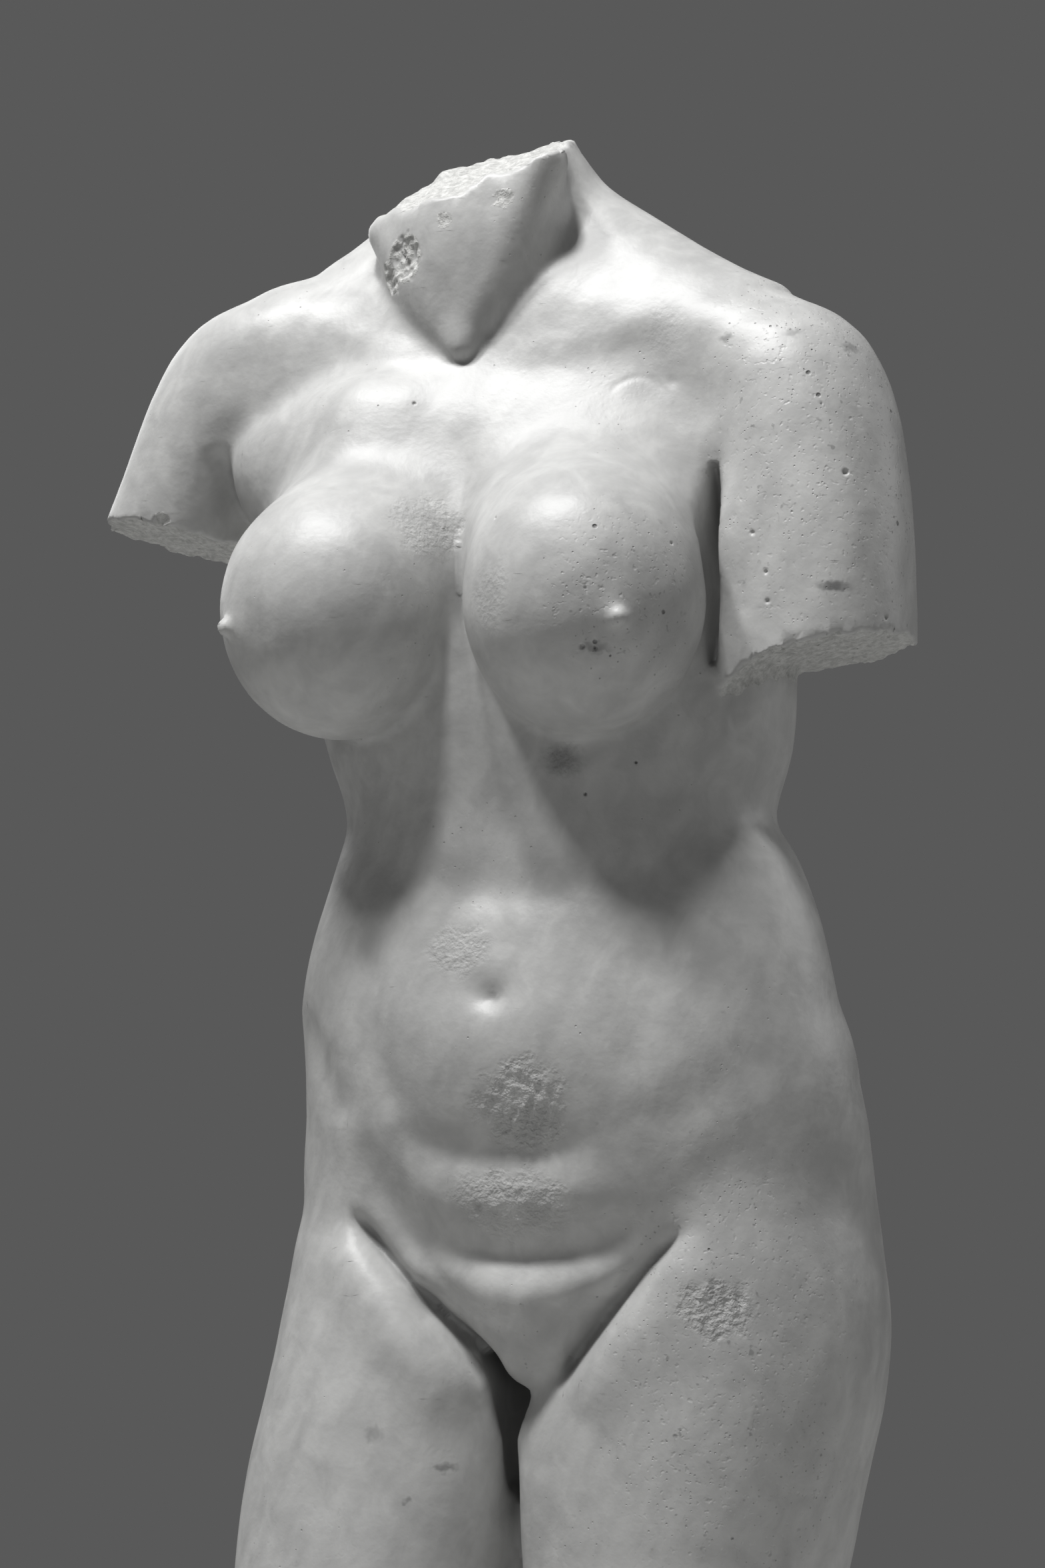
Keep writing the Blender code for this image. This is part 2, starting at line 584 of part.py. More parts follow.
def base_block():
    """A low block with a shallow bed cut in its top to the outline of the slab."""
    corner = np.arctan2(BASE_DEPTH, BASE_WIDTH)
    turns = np.linspace(0, 2 * np.pi, 48, endpoint=False)
    turns = np.sort(np.append(turns, (corner, np.pi - corner, np.pi + corner, 2 * np.pi - corner)))
    way = np.stack((np.cos(turns), np.sin(turns)), 1)

    def rectangle(inset, z):
        half = np.array((BASE_WIDTH, BASE_DEPTH)) / 2
        ring = way / np.max(np.abs(way) / half, axis=1)[:, None] * (1 - inset / half)
        return np.column_stack((ring, np.full(len(ring), z)))

    def bed(z):
        half = np.array((SLAB_WIDTH, SLAB_DEPTH)) / 2 + BED_GAP
        ring = way / ((np.abs(way) / half) ** SLAB_SQUARENESS).sum(1)[:, None] ** (1 / SLAB_SQUARENESS)
        return np.column_stack((ring + (SLAB_X, SLAB_Y), np.full(len(ring), z)))

    rings = [
        rectangle(0, 0),
        rectangle(0, BASE_HEIGHT - BASE_EDGE),
        rectangle(BASE_EDGE, BASE_HEIGHT),
        bed(BASE_HEIGHT),
        bed(BASE_HEIGHT - BED_DEPTH),
    ]
    n = len(turns)
    faces = [list(range(n))[::-1], list(range(4 * n, 5 * n))]
    for k in range(len(rings) - 1):
        for i in range(n):
            j = (i + 1) % n
            faces.append([k * n + i, k * n + j, (k + 1) * n + j, (k + 1) * n + i])
    return np.concatenate(rings), faces


def build_object(name, points, faces, material):
    mesh = bpy.data.meshes.new(name)
    mesh.from_pydata(np.asarray(points).tolist(), [], [list(map(int, face)) for face in faces])
    mesh.materials.append(material)
    obj = bpy.data.objects.new(name, mesh)
    bpy.context.scene.collection.objects.link(obj)
    mesh.shade_smooth()
    return obj


def stone(name, colour, roughness):
    material = bpy.data.materials.new(name)
    material.use_nodes = True
    shader = material.node_tree.nodes["Principled BSDF"]
    shader.inputs["Base Color"].default_value = (*colour, 1)
    shader.inputs["Roughness"].default_value = roughness
    return material


def main():
    for obj in list(bpy.data.objects):
        bpy.data.objects.remove(obj)
    marble = stone("marble", (0.62, 0.61, 0.59), 0.42)
    base_stone = stone("base_stone", (0.50, 0.49, 0.47), 0.6)
    points, faces = largest_piece(*skin(figure_form, (-320, -230, -70), (300, 220, 1500), CELL))
    points = settle(figure_form, points) * UNIT + (FIGURE_X, 0, SOLE_HEIGHT)
    figure = build_object("figure", points, faces, marble)
    if FACES:
        fewer = figure.modifiers.new("fewer faces", "DECIMATE")
        fewer.ratio = FACES / (2 * len(faces))
        fewer.use_collapse_triangulate = True
    build_object("base", *base_block(), base_stone)


if __name__ == "__main__":
    main()
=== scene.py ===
# %% [markdown]
# # A broken marble figure
# The object is an antique statue of a standing woman, carved at life size, whose head and
# arms are lost. One block of marble holds the figure and the thin slab of ground under its
# feet, and the slab is let into a low base of a second stone. The solids of both are loaded
# first, and they fix every size. Only the grain of the broken neck rises a little above them.

import bpy
import numpy as np
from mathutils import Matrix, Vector


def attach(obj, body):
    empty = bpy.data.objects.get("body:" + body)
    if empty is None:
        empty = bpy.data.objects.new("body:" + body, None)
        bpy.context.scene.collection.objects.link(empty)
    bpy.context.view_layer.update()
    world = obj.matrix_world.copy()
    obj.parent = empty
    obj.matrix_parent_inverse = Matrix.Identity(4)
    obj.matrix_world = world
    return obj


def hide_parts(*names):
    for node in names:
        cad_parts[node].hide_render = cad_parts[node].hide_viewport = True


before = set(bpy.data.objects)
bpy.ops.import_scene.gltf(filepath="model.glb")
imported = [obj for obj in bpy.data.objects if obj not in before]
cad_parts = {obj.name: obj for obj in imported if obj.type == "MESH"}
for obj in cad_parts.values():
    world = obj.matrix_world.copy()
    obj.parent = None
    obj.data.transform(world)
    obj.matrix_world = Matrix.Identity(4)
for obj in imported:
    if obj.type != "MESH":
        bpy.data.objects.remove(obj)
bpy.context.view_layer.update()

# %% [markdown]
# ## Sizes
# A carver measures a figure against its own height, so every proportion below is a count of
# small units: 1650 of them made the whole figure from sole to crown. Heights start at the
# soles. The figure faces -Y, and its own left side is at +X.

# %% Sizes
FIGURE_HEIGHT = 1.65
UNIT = FIGURE_HEIGHT / 1650
BASE_WIDTH, BASE_DEPTH, BASE_HEIGHT, BASE_EDGE = 0.56, 0.44, 0.09, 0.006
BED_DEPTH, BED_GAP, SETTING_GAP = 0.025, 0.002, 0.0003
SLAB_WIDTH, SLAB_DEPTH, SLAB_THICKNESS, SLAB_SQUARENESS = 0.38, 0.33, 0.05, 4.5
SLAB_X, SLAB_Y, FIGURE_X = 0.010, -0.022, 0.022
SOLE_HEIGHT = BASE_HEIGHT - BED_DEPTH + SETTING_GAP + SLAB_THICKNESS
print(f"one unit is {UNIT * 1000:.2f} mm, and the soles stand {SOLE_HEIGHT * 1000:.0f} mm up")

# %% [markdown]
# ## Form as distance
# A body has no edges to model from, and no two parts of it meet along a line. So the form is
# a function: for any point it gives the distance to the skin, below zero inside. Two such
# forms are joined by taking the smaller distance, and a soft minimum lays a fillet between
# them, as flesh does. The same functions shaped the solids. Here they are read on a finer
# grid, and the small marks of age are cut in.

# %% Soft joins
def smooth_min(a, b, r):
    """Joins two forms with a fillet of about r."""
    h = np.clip(0.5 + 0.5 * (b - a) / r, 0, 1)
    return b + (a - b) * h - r * h * (1 - h)


def smooth_max(a, b, r):
    """What two forms share, with the edge rounded by about r."""
    return -smooth_min(-a, -b, r)


print("a fillet of 20 units lifts a corner by", -smooth_min(np.float32(0), np.float32(0), 20))

# %% Curves through stations
def read_table(rows, at):
    """Reads a table of stations at the given heights, on a smooth curve through every row."""
    rows = np.asarray(rows, np.float32)
    knots, values = rows[:, 0], rows[:, 1:]
    slopes = np.gradient(values, knots, axis=0)
    i = np.clip(np.searchsorted(knots, at) - 1, 0, len(knots) - 2)
    gap = (knots[i + 1] - knots[i])[:, None]
    t = np.clip((at - knots[i])[:, None] / gap, 0, 1)
    start = (1 + 2 * t) * (1 - t) ** 2 * values[i] + t * (1 - t) ** 2 * gap * slopes[i]
    return start + t * t * (3 - 2 * t) * values[i + 1] - t * t * (1 - t) * gap * slopes[i + 1]


def rise(z, start, end):
    """From 0 below start to 1 above end, smoothly."""
    t = np.clip((z - start) / (end - start), 0, 1)
    return t * t * (3 - 2 * t)


def curve(points, steps=4):
    """A smooth line through the given points."""
    rows = [(k, *point) for k, point in enumerate(points)]
    return read_table(rows, np.linspace(0, len(points) - 1, (len(points) - 1) * steps + 1))


print("half way up a rise:", rise(0.5, 0, 1))

# %% [markdown]
# ## Limbs and masses
# Three shapes make the whole body. A column follows a table of cross-sections, as calipers
# would take them down a leg. A mass is an egg, for a breast or a buttock. A bone is a round
# limb between two points, for a collar bone, a tendon or a toe.

# %% Columns, masses and bones
def column(p, rows, cap=20.0):
    """A limb or trunk from its stations.

    Each is (height, centre x, centre y, reach to the right, left, front and back, squareness)."""
    x, y, z = p.T
    cx, cy, right, left, front, back, square = read_table(rows, z).T
    dx, dy = x - cx, y - cy
    a = np.where(dx < 0, right, left)
    b = np.where(dy < 0, front, back)
    reach = (np.abs(dx / a) ** square + np.abs(dy / b) ** square) ** (1 / square)
    reach = np.maximum(reach, 0.05)
    side = np.hypot(dx, dy) * (1 - 1 / reach)
    ends = np.maximum(rows[0][0] - z, z - rows[-1][0])
    return smooth_max(side, ends, cap)


def mass(p, centre, radii, m=None):
    """An egg-shaped mass, turned by the matrix m."""
    q = p - np.asarray(centre, np.float32)
    if m is not None:
        q = q @ np.asarray(m, np.float32)
    radii = np.asarray(radii, np.float32)
    k0 = np.linalg.norm(q / radii, axis=1)
    k1 = np.linalg.norm(q / radii**2, axis=1)
    return k0 * (k0 - 1) / np.maximum(k1, 1e-6)


def bone(p, a, b, ra, rb):
    """A round limb between two points, thick ra at one end and rb at the other."""
    a, b = np.asarray(a, np.float32), np.asarray(b, np.float32)
    along = b - a
    t = np.clip((p - a) @ along / (along @ along), 0, 1)
    return np.linalg.norm(p - a - t[:, None] * along, axis=1) - (ra + (rb - ra) * t)


def turn(degrees, axis):
    """A turning matrix about X, Y or Z."""
    a = np.radians(degrees)
    c, s = np.cos(a), np.sin(a)
    i, j = {"x": (1, 2), "y": (2, 0), "z": (0, 1)}[axis]
    m = np.eye(3)
    m[i, i], m[i, j], m[j, i], m[j, j] = c, -s, s, c
    return m


def local(p, origin, m):
    """Points as seen from a turned frame at the origin."""
    return (p - np.asarray(origin, np.float32)) @ np.asarray(m, np.float32)


print("a point 30 units from the end of a bone:", bone(np.zeros((1, 3)), (30, 0, 0), (60, 0, 0), 5, 5) + 5)

# %% [markdown]
# ## Strokes of the chisel
# Creases, collar bones and the line of the spine are drawn on the front or the back as a
# line, and pushed in or out along it with a bell-shaped section, as a round chisel does.
# A swell is the same around one point, for a kneecap or the navel.

# %% Furrows and swells
def line_distance(p, line):
    """How far each point is from a line of short straight runs, and how far along it, from 0 to 1."""
    nearest = np.full(len(p), 1e9, np.float32)
    where = np.zeros(len(p), np.float32)
    for k, (a, b) in enumerate(zip(line[:-1], line[1:])):
        along = b - a
        t = np.clip((p - a) @ along / max(along @ along, 1e-6), 0, 1)
        away = np.sum((p - a - t[:, None] * along) ** 2, axis=1)
        closer = away < nearest
        nearest[closer] = away[closer]
        where[closer] = k + t[closer]
    return np.sqrt(nearest), where / (len(line) - 1)


FRONT, BACK = -1, 1


def carve(form, p, side, points, width, depth, middle=0.0):
    """Cuts a furrow, or raises a ridge where depth is below zero, along a line on the front or back.

    The line's points are (across, height); middle is the depth that parts front from back."""
    line = curve(np.asarray(points, np.float32))
    low, high = line.min(0) - 3 * width, line.max(0) + 3 * width
    flat = p[:, [0, 2]]
    near = np.all((flat > low) & (flat < high), axis=1) & (side * (p[:, 1] - middle) > -10)
    if not near.any():
        return
    spot = p[near]
    away, where = line_distance(spot[:, [0, 2]], line)
    share = np.exp(-((away / width) ** 2)) * rise(0.5 - np.abs(where - 0.5), -0.04, 0.22)
    form[near] += depth * share * rise(side * (spot[:, 1] - middle), -10, 25)


def swell(form, p, centre, radii, height):
    """Raises the skin softly around a point, or hollows it where height is below zero."""
    away = np.abs(p - np.asarray(centre, np.float32)) / np.asarray(radii, np.float32)
    near = np.all(away < 2.6, axis=1)
    form[near] -= height * np.exp(-np.sum(away[near] ** 2, axis=1))


def ripple(p, size, seed):
    """A slow, even unevenness between about -1 and 1, with waves of about the given size."""
    rng = np.random.default_rng(seed)
    total = np.zeros(len(p), np.float32)
    for k in range(6):
        way = rng.normal(size=3)
        way *= 2 * np.pi / (size * rng.uniform(0.6, 1.6)) / np.linalg.norm(way)
        total += np.sin(p @ way.astype(np.float32) + rng.uniform(0, 6.3))
    return total / 3


sample = np.random.default_rng(0).uniform(0, 500, (2000, 3))
print("lowest ripple of 2000 places:", ripple(sample, 40, 1).min().round(2))

# %% [markdown]
# ## Stations
# Each row gives a height, the section's centre across and in depth, its reach to the
# figure's right, left, front and back, and how square it is: 2 is an oval.

# %% Trunk
TRUNK = (
    (752, 37, 12, 10, 10, 20, 30, 2.0),
    (772, 37, 6, 26, 26, 38, 56, 2.0),
    (792, 37, -2, 50, 50, 58, 82, 2.0),
    (815, 38, -8, 80, 80, 78, 106, 2.1),
    (843, 37, -4, 122, 116, 88, 108, 2.2),
    (870, 36, -2, 148, 143, 93, 102, 2.2),
    (899, 36, -2, 159, 158, 97, 93, 2.2),
    (937, 34, -4, 159, 161, 99, 82, 2.2),
    (975, 28, -4, 155, 158, 99, 75, 2.2),
    (1013, 25, -2, 145, 152, 96, 70, 2.2),
    (1051, 24, 1, 133, 139, 91, 71, 2.2),
    (1078, 20, 4, 125, 130, 90, 75, 2.1),
    (1120, 14, 9, 132, 142, 96, 86, 2.1),
    (1170, 9, 14, 144, 148, 104, 94, 2.05),
    (1220, 5, 18, 156, 150, 104, 98, 2.05),
    (1270, 0, 20, 164, 152, 98, 98, 2.1),
    (1310, -6, 22, 152, 142, 84, 92, 2.2),
    (1345, -12, 24, 112, 110, 66, 78, 2.2),
    (1380, -18, 26, 66, 66, 48, 60, 2.0),
)
print("trunk stations:", len(TRUNK))

# %% Legs
LEFT_LEG = (
    (30, 56, 28, 24, 24, 30, 34, 2.0),
    (60, 57, 26, 28, 28, 33, 32, 2.0),
    (100, 58, 24, 27, 27, 31, 31, 2.0),
    (150, 61, 21, 30, 31, 33, 37, 2.0),
    (230, 68, 18, 42, 43, 40, 50, 2.1),
    (300, 75, 14, 51, 53, 46, 62, 2.1),
    (350, 80, 8, 53, 54, 48, 64, 2.1),
    (410, 84, 0, 50, 51, 52, 57, 2.2),
    (455, 88, -6, 53, 53, 58, 54, 2.2),
    (500, 91, -6, 61, 60, 63, 63, 2.1),
    (560, 95, -4, 79, 70, 75, 77, 2.05),
    (652, 99, 0, 100, 84, 88, 92, 2.1),
    (709, 106, 2, 112, 88, 93, 98, 2.15),
    (760, 114, 4, 113, 91, 94, 102, 2.15),
    (812, 118, 4, 92, 90, 90, 102, 2.1),
    (861, 120, 2, 74, 77, 78, 94, 2.1),
    (900, 122, 0, 50, 58, 52, 72, 2.1),
    (930, 124, 0, 20, 34, 20, 36, 2.1),
)
RIGHT_LEG = (
    (100, -76, 84, 22, 22, 28, 28, 2.0),
    (135, -76, 74, 27, 27, 31, 31, 2.0),
    (170, -75, 60, 30, 30, 33, 37, 2.0),
    (230, -73, 36, 41, 41, 40, 50, 2.1),
    (300, -71, 6, 51, 50, 46, 62, 2.1),
    (350, -70, -18, 53, 52, 48, 62, 2.1),
    (410, -68, -48, 50, 50, 53, 55, 2.2),
    (455, -67, -66, 53, 53, 58, 54, 2.2),
    (500, -68, -63, 61, 61, 63, 63, 2.1),
    (560, -70, -50, 69, 72, 75, 76, 2.05),
    (652, -71, -30, 82, 80, 88, 90, 2.1),
    (709, -66, -16, 86, 86, 92, 95, 2.15),
    (760, -58, -6, 86, 82, 94, 100, 2.1),
    (812, -52, 0, 84, 84, 88, 100, 2.1),
    (861, -50, 2, 78, 72, 74, 92, 2.1),
    (900, -50, 0, 62, 48, 50, 70, 2.1),
    (930, -52, 0, 30, 20, 20, 36, 2.1),
)
print("leg stations:", len(LEFT_LEG), len(RIGHT_LEG))

# %% Arms
LEFT_ARM = (
    (1120, 176, 0, 57, 52, 58, 56, 2.5),
    (1200, 176, 0, 57, 53, 59, 57, 2.4),
    (1240, 175, 0, 55, 53, 58, 58, 2.2),
    (1266, 172, 1, 52, 54, 57, 58, 2.1),
    (1303, 167, 3, 50, 53, 55, 56, 2.0),
    (1332, 159, 5, 48, 50, 50, 52, 2.0),
    (1350, 153, 7, 42, 43, 42, 46, 2.0),
    (1362, 147, 8, 30, 32, 30, 34, 2.0),
    (1372, 142, 9, 10, 10, 12, 14, 2.0),
)
RIGHT_ARM = (
    (-150, 0, 0, 46, 46, 52, 50, 2.1),
    (-80, 0, 0, 49, 48, 54, 54, 2.1),
    (-40, 0, 0, 51, 50, 55, 56, 2.1),
    (-10, 2, 0, 51, 50, 54, 56, 2.0),
    (18, 7, 0, 43, 47, 49, 52, 2.0),
    (36, 15, 0, 34, 40, 41, 43, 2.0),
    (54, 26, 0, 25, 24, 26, 28, 2.0),
    (66, 34, 0, 8, 8, 8, 8, 2.0),
)
RIGHT_SHOULDER = (-170, 6, 1352)
ARM_LEAN = 29
print("arm stations:", len(LEFT_ARM), len(RIGHT_ARM))

# %% [markdown]
# ## Feet and the ground under them
# The weight is on the figure's left foot, and the right rests on its ball with the heel
# raised. A foot is a column lying along the ground, with five toes as short bones. The slab
# under both is a plate with rounded corners and a roughly dressed edge.

# %% Feet
FOOT = (
    (-197, 0, -28, 10, 10, 16, 18, 2.0),
    (-178, 0, -28, 26, 26, 34, 27, 2.2),
    (-142, 0, -37, 30, 30, 44, 37, 2.2),
    (-100, 0, -34, 31, 32, 44, 34, 2.2),
    (-60, 0, -27, 34, 36, 37, 27, 2.3),
    (-23, 1, -19, 40, 42, 26, 19, 2.4),
    (3, 1, -14, 43, 43, 17, 14, 2.5),
    (22, 1, -10, 34, 36, 9, 9, 2.4),
)
TOES = ((-29, 14, 50, 12.5), (-9, 14, 49, 9.0), (7, 12, 42, 8.5), (21, 8, 33, 8.0), (34, 2, 22, 7.5))
LEFT_BALL, LEFT_YAW = (90, -105, 0), 14
RIGHT_BALL, RIGHT_YAW, RIGHT_PITCH = (-94, -8, 0), 12, 25


def foot(p, ball, yaw, pitch):
    """A left foot turned out by yaw, with its heel raised by pitch about the ball."""
    toe_frame = turn(yaw, "z") @ np.array([[1, 0, 0], [0, 0, -1], [0, -1, 0]])
    form = column(local(p, ball, toe_frame @ turn(-pitch, "x")), FOOT, 8)
    flat = local(p, ball, toe_frame)
    for side, start, end, thick in TOES:
        toe = bone(flat, (side, -thick - 5, start - 24), (side, -thick, end - 12), thick * 1.1, thick)
        form = smooth_min(form, toe, 5)
    return form


def feet(p):
    """Both feet. The right one is a left foot seen in a mirror."""
    left = foot(p, LEFT_BALL, LEFT_YAW, 0)
    flipped = p * np.array((-1, 1, 1), np.float32)
    x, y, z = RIGHT_BALL
    right = foot(flipped, (-x, y, z), RIGHT_YAW, RIGHT_PITCH)
    return left, right


print("toes on each foot:", len(TOES))

# %% Slab
def slab(p):
    """The thin ground slab under the feet, its edge roughly dressed above the bed."""
    x, y, z = p.T
    half = np.array((SLAB_WIDTH, SLAB_DEPTH)) / 2 / UNIT
    thick = SLAB_THICKNESS / UNIT
    away = np.abs(np.stack((x - (SLAB_X - FIGURE_X) / UNIT, y - SLAB_Y / UNIT), 1)) / half
    reach = np.maximum((away**SLAB_SQUARENESS).sum(1) ** (1 / SLAB_SQUARENESS), 0.05)
    out = np.linalg.norm(away * half, axis=1) * (1 - 1 / reach)
    out += (4 + 3 * ripple(p, 70, 7) + 1.5 * ripple(p, 22, 8)) * rise(z, -thick + 27, -thick + 42)
    flat = np.abs(z + thick / 2) - thick / 2 + 0.8 * (1 + ripple(p, 60, 9)) * rise(z, -10, 0)
    return smooth_max(out, flat, 5)


print("slab thickness:", SLAB_THICKNESS / UNIT, "units")

# %% [markdown]
# ## Breast and neck
# A breast is an egg turned outward with a small tip. The neck leans forward and to the
# figure's right, with the two cords that run down from behind the ears to the pit between
# the collar bones.

# %% Breast and neck
def breast(p, centre, radii, splay, nipple):
    """An egg turned outward by splay, with a tip on a low swelling."""
    form = mass(p, centre, radii, turn(splay, "z"))
    swell(form, p, nipple, (13, 13, 13), 2.0)
    return smooth_min(form, mass(p, nipple, (5.5, 5.5, 5.0)), 4)


def neck(p):
    """The neck and its two cords, still whole."""
    form = mass(p, (-22, 0, 1408), (60, 60, 90), turn(6, "y"))
    for top, thick in (((26, -36, 1450), 15), ((-72, -26, 1420), 12)):
        form = smooth_min(form, bone(p, (-18, -46, 1346), top, 3, thick), 16)
    return form


print("breast and neck ready")

# %% [markdown]
# ## Broken faces
# Marble breaks in a rough, sugary face with a ragged rim, never in a clean plane. Each break
# is a tilted plane with waves of several sizes laid over it, the smallest about the size of
# a grain of rice.

# %% Breaks
def rough(p, seed):
    """The unevenness of a broken face, from broad waves down to small ridges."""
    ridges = 1 - 2 * np.abs(ripple(p, 17, seed))
    return 1.0 * ripple(p, 34, seed + 1) + 0.9 * ridges + 0.5 * ripple(p, 8, seed + 2)


def cut_left(p):
    """The left arm's broken face, longest at its inner front corner."""
    x, y, z = p.T
    corner = 16 * np.exp(-(((x - 126) / 24) ** 2)) * rise(-y, -40, 30)
    return 1166 + 0.17 * (x - 175) - corner - z + 1.2 * ripple(p, 30, 3) + 0.8 * rough(p, 31)


def cut_right(p):
    """The right arm's broken face, which slopes down and outward."""
    x, y, z = p.T
    return 1257 - 0.2 * (x + 235) - 0.1 * y - z + 1.2 * ripple(p, 30, 4) + 0.8 * rough(p, 41)


def neck_break(p):
    """The broken top of the neck, rising to the back and to the figure's left."""
    x, y, z = p.T
    hump = 7 * np.exp(-(((x + 55) / 34) ** 2) - ((y - 15) / 34) ** 2)
    plane = 1461 + 0.26 * x + 0.44 * y + hump
    return z - plane + 2.0 * ripple(p, 40, 5) + 1.0 * ripple(p, 14, 6) + 0.8 * rough(p, 51)


print("height of the neck's break at its middle:", -neck_break(np.zeros((1, 3), np.float32)).round(1))

# %% [markdown]
# ## The body put together
# The trunk comes first, and hips, legs, breasts, arms, shoulders and neck are joined to it
# with fillets of their own size: sharp where a thigh meets the belly in front, broad over
# the hip. A switch leaves the breaks out, which later tells where the broken faces are.

# %% Body
def thighs(p, form):
    """The hips and legs joined to the trunk, with the gap at the top of the thighs."""
    x, y, z = p.T
    for hip in ((88, 50, 852), (-14, 48, 842)):
        form = smooth_min(form, mass(p, hip, (72, 70, 94)), 40)
    legs = smooth_min(column(p, LEFT_LEG), column(p, RIGHT_LEG), 5)
    outer = rise(np.abs(x - 37), 60, 130)
    low = rise(-z, -810, -780)
    form = smooth_min(form, legs, 5 + 20 * rise(y, -40, 20) + 26 * outer + 8 * low)
    gap = bone(p * np.array((1, 0.4, 1), np.float32), (18, -14, 766), (11, -14, 712), 17, 2)
    form = smooth_max(form, -smooth_max(gap, z - 773, 3), 3)
    return smooth_min(form, mass(p, (31, -50, 812), (46, 38, 46)), 12)


def shoulders(p, form):
    """The slopes from the neck to the shoulders, front and back, and the root of the neck."""
    for a, b, ra, rb, fillet in (
        ((14, 28, 1418), (134, 12, 1350), 40, 29, 20),
        ((-72, 26, 1408), (-138, 12, 1366), 36, 30, 20),
        ((-56, 0, 1362), (-128, 2, 1350), 40, 36, 30),
        ((26, 0, 1362), (110, 2, 1342), 40, 36, 30),
        ((-20, 34, 1380), (-30, 6, 1510), 46, 46, 24),
    ):
        form = smooth_min(form, bone(p, a, b, ra, rb), fillet)
    return form


def figure_form(p, broken=True):
    """Distance to the figure's skin, below zero inside."""
    x, y, z = p.T
    form = thighs(p, column(p, TRUNK))
    bosom = np.minimum(
        breast(p, (70, -86, 1193), (67, 66, 74), 32, (110, -138, 1175)),
        breast(p, (-75, -86, 1193), (69, 66, 72), -38, (-120, -136, 1180)),
    )
    left = column(p, LEFT_ARM, 10)
    right = column(local(p, RIGHT_SHOULDER, turn(ARM_LEAN, "y") @ turn(6, "x")), RIGHT_ARM, 10)
    if broken:
        left = smooth_max(left, cut_left(p), 1)
        right = smooth_max(right, cut_right(p), 1)
    form = smooth_min(form, bone(p, (-70, -34, 1292), (-132, -14, 1286), 46, 42), 24)
    form = smooth_min(form, left, 6 + 30 * rise(z, 1235, 1310))
    form = smooth_min(form, right, 5 + 30 * rise(z, 1285, 1340))
    form = smooth_min(form, bosom, 7 + 40 * rise(z, 1170, 1250))
    form = smooth_max(form, -mass(p, (129, -42, 1214), (4.5, 22, 58)), 5)
    form = shoulders(p, form)
    form = smooth_min(form, neck(p), 4 + 18 * rise(y, -25, 25))
    if broken:
        form = smooth_max(form, neck_break(p), 1 + 12 * rise(-x, 50, 95))
    for foot_form in feet(p):
        form = smooth_min(form, foot_form, 10)
    carving(form, p)
    return smooth_min(form, slab(p), 5)


print("joined in turn: trunk, thighs, arms, breasts, shoulders, neck, feet and slab")

# %% [markdown]
# ## Carving
# What a carver would draw on the body last: the folds over the belly, the groin, the navel,
# the collar bones, and behind them the spine, the shoulder blades and the dimples of the
# back.

# %% Front
PELVIS_X = 38
GROIN_RIGHT = ((-74, 861), (-60, 846), (-39, 825), (-15, 801), (4, 782), (18, 766))
GROIN_LEFT = ((128, 858), (109, 840), (91, 820), (73, 800), (58, 782), (48, 766))
THIGHS_MEET = ((16, 738), (16, 716), (17, 690), (18, 650), (18, 600), (18, 560), (18, 530))
WAIST = (
    (-118, 1086), (-84, 1068), (-57, 1056), (-39, 1047), (-12, 1039), (24, 1035),
    (62, 1036), (92, 1043), (114, 1054), (134, 1066), (152, 1078), (166, 1080),
)
LOW_FOLD = ((-62, 905), (-54, 882), (-34, 855), (-4, 841), (29, 837), (63, 843), (90, 853), (108, 868))
ROLL = (
    (-98, 940), (-82, 910), (-66, 886), (-45, 858), (-20, 836),
    (11, 822), (38, 817), (68, 823), (96, 841), (118, 860),
)
BELLY_FOLD = ((-44, 908), (-16, 897), (9, 892), (32, 892), (59, 896), (82, 906))


def moved(points, across, up):
    """The same line, shifted."""
    return [(x + across, z + up) for x, z in points]


def carve_front(form, p):
    """The strokes on the front, each a line with its width, its depth and the middle of the body."""
    for points, width, depth, middle in (
        (GROIN_RIGHT, 7, 8, 0),
        (GROIN_LEFT, 7, 7, 0),
        (((-36, 822), (-16, 802), (0, 787), (14, 772)), 9, 7, 0),
        (moved(GROIN_RIGHT, -16, -14), 17, -5, 0),
        (moved(GROIN_LEFT, 16, -14), 17, -4, 0),
        (THIGHS_MEET, 6, 8, 0),
        (WAIST, 14, 3.5, 40),
        (BELLY_FOLD, 12, 3.2, 0),
        (LOW_FOLD, 14, 6, 0),
        (ROLL, 14, -2, 0),
        (((-60, 1020), (-56, 990), (-50, 954), (-43, 929), (-36, 909)), 11, 4, 0),
        (((112, 1020), (108, 990), (103, 955), (96, 925)), 13, 2, 0),
        (((6, 1130), (7, 1085), (16, 1048), (25, 1011), (30, 992)), 9, 2.5, 0),
        (((172, 958), (156, 941), (137, 926), (120, 913), (108, 900)), 14, 2, 0),
        (((-112, 976), (-98, 948), (-84, 926), (-76, 906)), 11, 3.5, 0),
        (((-12, 1300), (-7, 1271), (-3, 1233), (0, 1195), (4, 1158), (6, 1130)), 13, 3, 0),
        (((8, 1338), (38, 1342), (70, 1348), (100, 1358)), 9, -1.5, 0),
        (((-44, 1342), (-72, 1350), (-104, 1364)), 9, -1.5, 0),
        (((-178, 1300), (-177, 1275), (-174, 1240)), 6, 4, -5),
    ):
        carve(form, p, FRONT, points, width, depth, middle)
    for centre, radii, height in (
        ((26, -96, 950), (60, 40, 44), 9),
        ((34, -96, 872), (64, 40, 16), 3),
        ((18, -104, 981), (24, 40, 13), -3.5),
        ((24, -104, 977), (8, 40, 6), -4),
        ((62, -10, 1378), (26, 26, 14), -3),
        ((-92, -10, 1392), (22, 26, 12), -2),
    ):
        swell(form, p, centre, radii, height)


